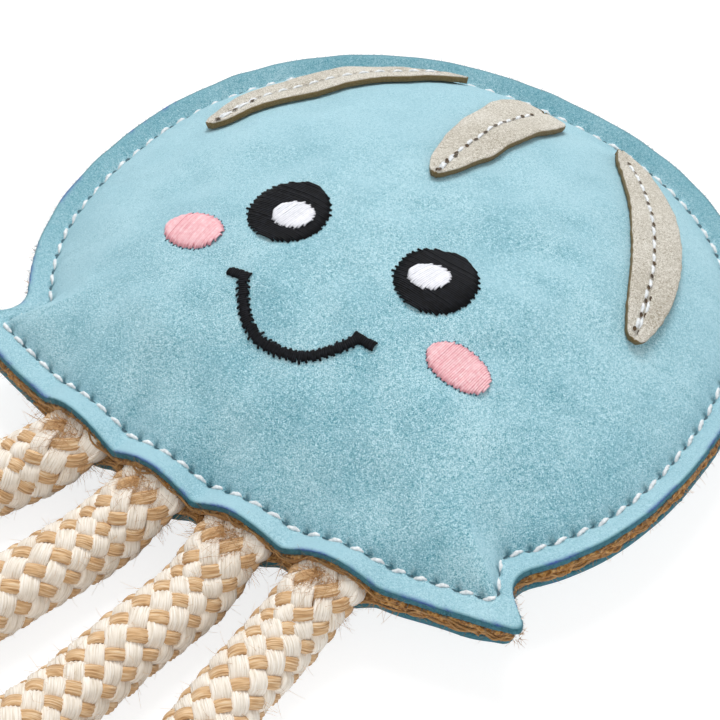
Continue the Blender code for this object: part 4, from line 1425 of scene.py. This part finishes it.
def crescent(name, line, width, ends, node, seed):
    """The centre line is a parabola through three points. The width along it is
    share^first times (1 - share)^last, so a small power makes a blunt end."""
    t = np.linspace(0.0, 1.0, PATCH_ROWS)
    t = (t + (1.0 - np.cos(t * math.pi)) / 2.0) / 2.0
    start, middle, end = (np.array(point) for point in line)
    control = 2.0 * middle - (start + end) / 2.0
    s = t[:, None]
    centre = (1.0 - s) ** 2 * start + 2.0 * s * (1.0 - s) * control + s**2 * end
    first, last = ends
    widest = first / (first + last)
    leaf = t**first * (1.0 - t) ** last / (widest**first * (1.0 - widest) ** last)
    half = np.maximum(PATCH_END_WIDTH, width * leaf) / 2.0
    half = half + 0.00006 * waves(centre, 0.004, seed)
    along = unit(np.gradient(centre, axis=0))
    left = np.stack([-along[:, 1], along[:, 0]], axis=1)
    across = np.concatenate([ACROSS, BELOW[:, 0]])
    heights = np.concatenate([HEIGHTS, BELOW[:, 1]])
    plan = centre[:, None] + left[:, None] * (half[:, None] * across)[..., None]
    base, normal = on_front(plan)
    pressed = 1.0 - 0.30 * np.exp(-((across / 0.16) ** 2)) * (heights > 0.9)
    over = PATCH_GAP + PATCH_THICKNESS * heights * pressed
    points = base + normal * over[None, :, None]
    rows, around = points.shape[:2]
    here = np.arange(around)
    caps = [here[::-1].tolist(), (here + (rows - 1) * around).tolist()]
    cut = np.zeros((rows, around))
    cut[:, len(ACROSS) :] = 1.0
    cut[:, [0, len(ACROSS) - 1]] = 0.75
    cut[[0, -1]] = 1.0
    faces = grid_faces(rows, around).tolist() + caps
    made = piece(
        name, points.reshape(-1, 3), faces, [TAUPE_SUEDE], "taupe_suede", [node], cut=cut
    )
    return made, centre


def centre_stitches(name, made, centre, seed):
    """Stitches down the middle, doubled at the lower tip where the sewing was made fast."""
    bpy.context.view_layer.update()
    drop = dropper(made)
    total = lengths_along(centre)[-1]
    lots = []
    runs = ((0.10, 0.97, 0.0), (0.82, 0.97, 0.0007))
    for run, (start, end, aside) in enumerate(runs):
        line = read_along(centre, np.linspace(start * total, end * total, 160))
        along = unit(np.gradient(line, axis=0))
        line = line + np.stack([-along[:, 1], along[:, 0]], axis=1) * aside
        points, normals = drop(line)
        count = max(2, round((end - start) * total / 0.0040))
        lots += stitches(points, normals, count, PATCH_THREAD, 0.0003, seed + run)
    points, faces, which = together(*lots)
    looks = [WHITE_THREAD, TAUPE_HOLE_SHADOW]
    return piece(name, points, faces, looks, "white_thread", lots=[i % 2 for i in which])


RIGHT_LINE = SIDE_PATCH_LINE
LEFT_LINE = tuple((-x, y) for x, y in SIDE_PATCH_LINE)
for place, line, width, ends in (
    ("right", RIGHT_LINE, SIDE_PATCH_WIDTH, SIDE_PATCH_ENDS),
    ("left", LEFT_LINE, SIDE_PATCH_WIDTH, SIDE_PATCH_ENDS),
    ("middle", MIDDLE_PATCH_LINE, MIDDLE_PATCH_WIDTH, MIDDLE_PATCH_ENDS),
):
    seed = 200 + len(place)
    made, centre = crescent(f"crescent_{place}", line, width, ends, f"patch_{place}", seed)
    centre_stitches(f"crescent_stitches_{place}", made, centre, seed + 50)

# %% [markdown]
# ## Satin stitch
# The face is embroidered: threads laid side by side from edge to edge of each shape. The eyes'
# threads run across the face, the white ovals' and the cheeks' up and down, and the smile's
# across its stroke. Every third thread is longer, which gives the toothed edge, and the needle
# leaves a row of pricks in the suede, whose shade is painted as small dark discs. Each thread
# carries painted light along its top and painted shade where it meets the next, by a value
# called shade.


# %% Satin looks
def satin_look(name, deep, dark, light):
    """Rayon thread: painted shade in the deep colour between two threads and painted light in the
    bright one on its top, by the shade value.
    """
    look, tree, shader = new_look(name, Roughness=0.6)
    shader.inputs["Specular IOR Level"].default_value = 0.12
    place = add(tree, "ShaderNodeTexCoord").outputs["Object"]
    uneven = add(tree, "ShaderNodeTexNoise", inputs={"Vector": place, "Scale": 1100.0, "Detail": 2.0})
    tone = add(
        tree,
        "ShaderNodeValToRGB",
        settings={"stops": [(0.35, dark), (0.65, light)]},
        inputs={"Fac": uneven.outputs["Fac"]},
    )
    shade = add(tree, "ShaderNodeAttribute", settings={"attribute_name": "shade"})
    mixed = add(
        tree,
        "ShaderNodeMix",
        settings={"data_type": "RGBA"},
        inputs={0: shade.outputs["Fac"], 6: linear(deep), 7: tone.outputs["Color"]},
    )
    tree.links.new(mixed.outputs[2], shader.inputs["Base Color"])
    return look


BLACK_SATIN = satin_look("black_rayon_satin", "#020203", "#06070A", "#17191F")
WHITE_SATIN = satin_look("white_rayon_satin", "#BFC1C9", "#E2E3E8", "#F0F0F4")
PINK_SATIN = satin_look("pink_rayon_satin", "#D58893", "#E6B5BA", "#EFD3D6")


# %% Satin threads
def satin(name, threads, width, lie, look, slot, node, seed):
    """Threads from start to end in plan. Each lies on the surface and bulges by
    1 - (2 t - 1)^6, so it is flat on top and dives at both ends."""
    starts, ends = threads
    gap, rise = lie
    draw = np.random.default_rng(seed)
    t = np.linspace(0.0, 1.0, 11)
    plan = starts[:, None] + (ends - starts)[:, None] * t[None, :, None]
    base, normal = on_front(plan)
    flat = 1.0 - (2.0 * t - 1.0) ** 6
    over = gap + rise * flat * draw.uniform(0.85, 1.1, (len(starts), 1))
    profile = circle(8) * (width * 0.50, width * 0.42)
    points, faces = strands(base + normal * over[..., None], normal, profile)
    # Painted light and shade: each thread is bright on its top, dark at its sides and where it dives at
    # its ends, and own makes some threads paler than others.
    top = np.clip(circle(8)[:, 1], 0.0, 1.0) ** 0.8
    own = draw.uniform(0.7, 1.0, (len(starts), 1, 1))
    shade = own * (0.35 + 0.65 * flat[:, None]) * top
    return piece(name, points, faces, [look], slot, [node], shade=shade)


def pricks(name, threads, size):
    """A needle prick at the ends of every second thread, as a small dark disc of painted shade."""
    starts, ends = threads
    way = unit(ends - starts)
    tips = np.vstack([starts - way * size * 0.4, ends + way * size * 0.4])[::2]
    ways = np.vstack([way, way])[::2]
    plan = tips[:, None] + ways[:, None] * size * np.array([-0.5, 0.0, 0.5])[:, None]
    base, normal = on_front(plan)
    profile = circle(6) * (0.40 * size, 0.15 * size) * np.array([0.6, 1.0, 0.6])[:, None, None]
    points, faces = strands(base, normal, profile[None])
    return piece(name, points, faces, [HOLE], "blue_suede")


def oval_threads(place, radii, pitch, across, tooth, slant, seed):
    """Threads that fill an oval: chord half lengths are a sqrt(1 - (d/b)^2). Slant moves
    their ends sideways by its share of the chord."""
    draw = np.random.default_rng(seed)
    long, short = radii if across else radii[::-1]
    count = max(6, round(2.0 * short / pitch))
    d = (np.arange(count) + 0.5) / count * 2.0 - 1.0
    half = long * np.sqrt(1.0 - d**2)
    longer = tooth * ((np.arange(count) % 3 == 0) - 0.4)
    low = -half - longer + draw.normal(0.0, tooth / 3.0, count)
    high = half + longer + draw.normal(0.0, tooth / 3.0, count)
    d = d * short
    starts = np.column_stack([low, d + slant * low])
    ends = np.column_stack([high, d + slant * high])
    if not across:
        starts, ends = starts[:, ::-1], ends[:, ::-1]
    return starts + place, ends + place


# %% [markdown]
# ### Eyes and cheeks
# The embroidery isn't the same on both sides of the face, so each side has places of its own.
# A white oval is sewn over the black threads of its eye and lies higher by their thickness.

# %% Eyes and cheeks
FACE = {
    "left": {"eye": (-0.0192, -0.0130), "glint": (0.0021, -0.0010), "cheek": (-0.0361, -0.0262)},
    "right": {"eye": (0.0195, -0.0116), "glint": (-0.0013, -0.0007), "cheek": (0.0352, -0.0260)},
}
EYE_RADII = (0.0093, 0.0092)
GLINT_RADII = (0.0042, 0.0042)
CHEEK_RADII = (0.0073, 0.0047)
THREAD_PITCH = 0.00046
TOOTH = 0.00042
LOW_LIE = (0.0001, 0.0006)
HIGH_LIE = (0.0006, 0.0006)
PRICK = 0.00055

for side, places in FACE.items():
    eye, cheek = np.array(places["eye"]), np.array(places["cheek"])
    glint = eye + places["glint"]
    black = oval_threads(eye, EYE_RADII, THREAD_PITCH, True, TOOTH, 0.0, 301)
    white = oval_threads(glint, GLINT_RADII, THREAD_PITCH, False, TOOTH * 0.7, 0.25, 303)
    pink = oval_threads(cheek, CHEEK_RADII, THREAD_PITCH, False, TOOTH * 0.7, 0.12, 305)
    thick = THREAD_PITCH * 1.2
    slots = ("black_thread", "white_thread", "pink_thread")
    satin(f"satin_eye_{side}", black, thick, LOW_LIE, BLACK_SATIN, slots[0], f"eye_{side}", 302)
    glint_node = f"eye_glint_{side}"
    satin(f"satin_glint_{side}", white, thick, HIGH_LIE, WHITE_SATIN, slots[1], glint_node, 304)
    cheek_node = f"cheek_{side}"
    satin(f"satin_cheek_{side}", pink, thick, LOW_LIE, PINK_SATIN, slots[2], cheek_node, 306)
    pricks(f"cheek_pricks_{side}", pink, PRICK)

# %% [markdown]
# ### The smile
# The smile is one satin stroke. Its curve is flatter in the middle than a circle's and turns
# up steeply at both ends, which a power of 2.6 gives, and each end has a short tick.

# %% Smile
SMILE_MIDDLE_X = -0.0014
SMILE_TOP_Y = -0.0326
SMILE_HALF_WIDTH = 0.0155
SMILE_DEPTH = 0.0102
SMILE_ROUNDNESS = 2.6
SMILE_STROKE = 0.0022
TICK_INNER = 0.0012
TICK_OUTER = 0.0039
TICK_STROKE = 0.0019


def smile():
    """The smile's line is y = top - depth (1 - |x / half|^2.6). Threads cross it square, and
    those of the two ticks, which point outwards, run up and down."""
    draw = np.random.default_rng(311)
    x = np.linspace(-SMILE_HALF_WIDTH, SMILE_HALF_WIDTH, 600)
    y = SMILE_TOP_Y - SMILE_DEPTH * (1.0 - np.abs(x / SMILE_HALF_WIDTH) ** SMILE_ROUNDNESS)
    line = np.stack([x, y], axis=1)
    count = round(lengths_along(line)[-1] / THREAD_PITCH)
    line = evenly(line, count)
    along = unit(np.gradient(line, axis=0))
    square = np.stack([-along[:, 1], along[:, 0]], axis=1)
    longer = TOOTH * ((np.arange(count) % 3 == 0) - 0.4)
    low, high = SMILE_STROKE / 2.0 + longer + draw.normal(0.0, TOOTH / 3.0, (2, count))
    starts, ends = [line - square * low[:, None]], [line + square * high[:, None]]
    bars = round((TICK_INNER + TICK_OUTER) / THREAD_PITCH)
    for sign in (-1.0, 1.0):
        across = sign * (SMILE_HALF_WIDTH + np.linspace(-TICK_INNER, TICK_OUTER, bars))
        reach = TICK_STROKE / 2.0 + draw.normal(0.0, TOOTH / 4.0, (2, bars))
        starts.append(np.column_stack([across, SMILE_TOP_Y - reach[0]]))
        ends.append(np.column_stack([across, SMILE_TOP_Y + reach[1]]))
    shift = (SMILE_MIDDLE_X, 0.0)
    return np.vstack(starts) + shift, np.vstack(ends) + shift


satin("satin_smile", smile(), THREAD_PITCH * 1.25, LOW_LIE, BLACK_SATIN, "black_thread", "smile", 312)

# %% [markdown]
# ## Filling
# The filling is polyester fibre. Nothing of it shows, so its solid stays as it is, with the
# look of loose white fibre for anyone who opens the model up.

# %% Filling look
FILLING = thread_look("loose_polyester_fibre", "#D9D9D4", "#F2F2EE", 0.3)
for slot in bpy.data.objects["stuffing"].material_slots:
    slot.material = FILLING

# %% [markdown]
# ## Table and light
# The toy was photographed on a white sweep under soft, wide light from behind its left side,
# so the shadow is short and falls to the lower right. The floor is white to the camera and
# keeps the shadow. The lamps are set so that a colour renders about as it is written.

# %% Floor
FLOOR_SIZE = 4.0
FLOOR_GREY = (0.28, 0.28, 0.28, 1.0)
FLOOR_GLOW = 0.80


def floor():
    """A white table. Lit by the lamps alone it would be grey to the camera, so there it glows
    by 0.8 as well, and to the light that it throws back at the toy it is a dull grey."""
    half = FLOOR_SIZE / 2.0
    data = bpy.data.meshes.new("table")
    corners = [(-half, -half, 0.0), (half, -half, 0.0), (half, half, 0.0), (-half, half, 0.0)]
    data.from_pydata(corners, [], [(0, 1, 2, 3)])
    look, tree, shader = new_look("white_sweep", Roughness=0.9)
    shader.inputs["Specular IOR Level"].default_value = 0.0
    path = add(tree, "ShaderNodeLightPath")
    paint = add(
        tree,
        "ShaderNodeMix",
        settings={"data_type": "RGBA"},
        inputs={0: path.outputs["Is Camera Ray"], 6: linear("#F6F6F7"), 7: FLOOR_GREY},
    )
    tree.links.new(paint.outputs[2], shader.inputs["Base Color"])
    seen = add(
        tree,
        "ShaderNodeMath",
        settings={"operation": "MULTIPLY"},
        inputs={0: path.outputs["Is Camera Ray"], 1: FLOOR_GLOW},
    )
    shader.inputs["Emission Color"].default_value = (1.0, 1.0, 1.0, 1.0)
    tree.links.new(seen.outputs[0], shader.inputs["Emission Strength"])
    data.materials.append(look)
    made = bpy.data.objects.new("table", data)
    bpy.context.scene.collection.objects.link(made)


floor()


# %% [markdown]
# ### Lamps and room
# Two large round softboxes stand in for the windows of a bright studio: the key behind the
# left side, and a weak fill opposite. The room itself is an even, dimmer white, which lights
# the shaded sides, and it is full white where it is only looked at or mirrored.

# %% Lamps and world
LAMP_AIM = (0.0, -0.02, 0.0)


def lamp(name, place, size, power):
    """A round softbox of a given size and power in watts, turned to the toy."""
    data = bpy.data.lights.new(name, "AREA")
    data.shape = "DISK"
    data.size = size
    data.energy = power
    made = bpy.data.objects.new(name, data)
    made.location = place
    way = Vector(LAMP_AIM) - Vector(place)
    made.rotation_euler = way.to_track_quat("-Z", "Y").to_euler()
    bpy.context.scene.collection.objects.link(made)


lamp("key_softbox", (-0.42, 0.68, 1.30), 0.8, 19.5)
lamp("fill_softbox", (0.8, -0.8, 0.9), 1.0, 5.5)

WORLD_LEVEL = 0.56
world = bpy.data.worlds.new("white_room")
bpy.context.scene.world = world
world.use_nodes = True
tree = world.node_tree
tree.nodes.clear()
room, seen = (
    add(tree, "ShaderNodeBackground", inputs={"Color": linear("#FFFFFF"), "Strength": level})
    for level in (WORLD_LEVEL, 1.0)
)
path = add(tree, "ShaderNodeLightPath")
direct = path.outputs["Is Camera Ray"]
for ray in ("Is Glossy Ray", "Is Transmission Ray"):
    either = {0: direct, 1: path.outputs[ray]}
    direct = add(tree, "ShaderNodeMath", {"operation": "MAXIMUM"}, either).outputs[0]
levels = {0: direct, 1: room.outputs[0], 2: seen.outputs[0]}
both = add(tree, "ShaderNodeMixShader", inputs=levels)
add(tree, "ShaderNodeOutputWorld", inputs={"Surface": both.outputs[0]})
bpy.context.scene.view_settings.view_transform = "Standard"
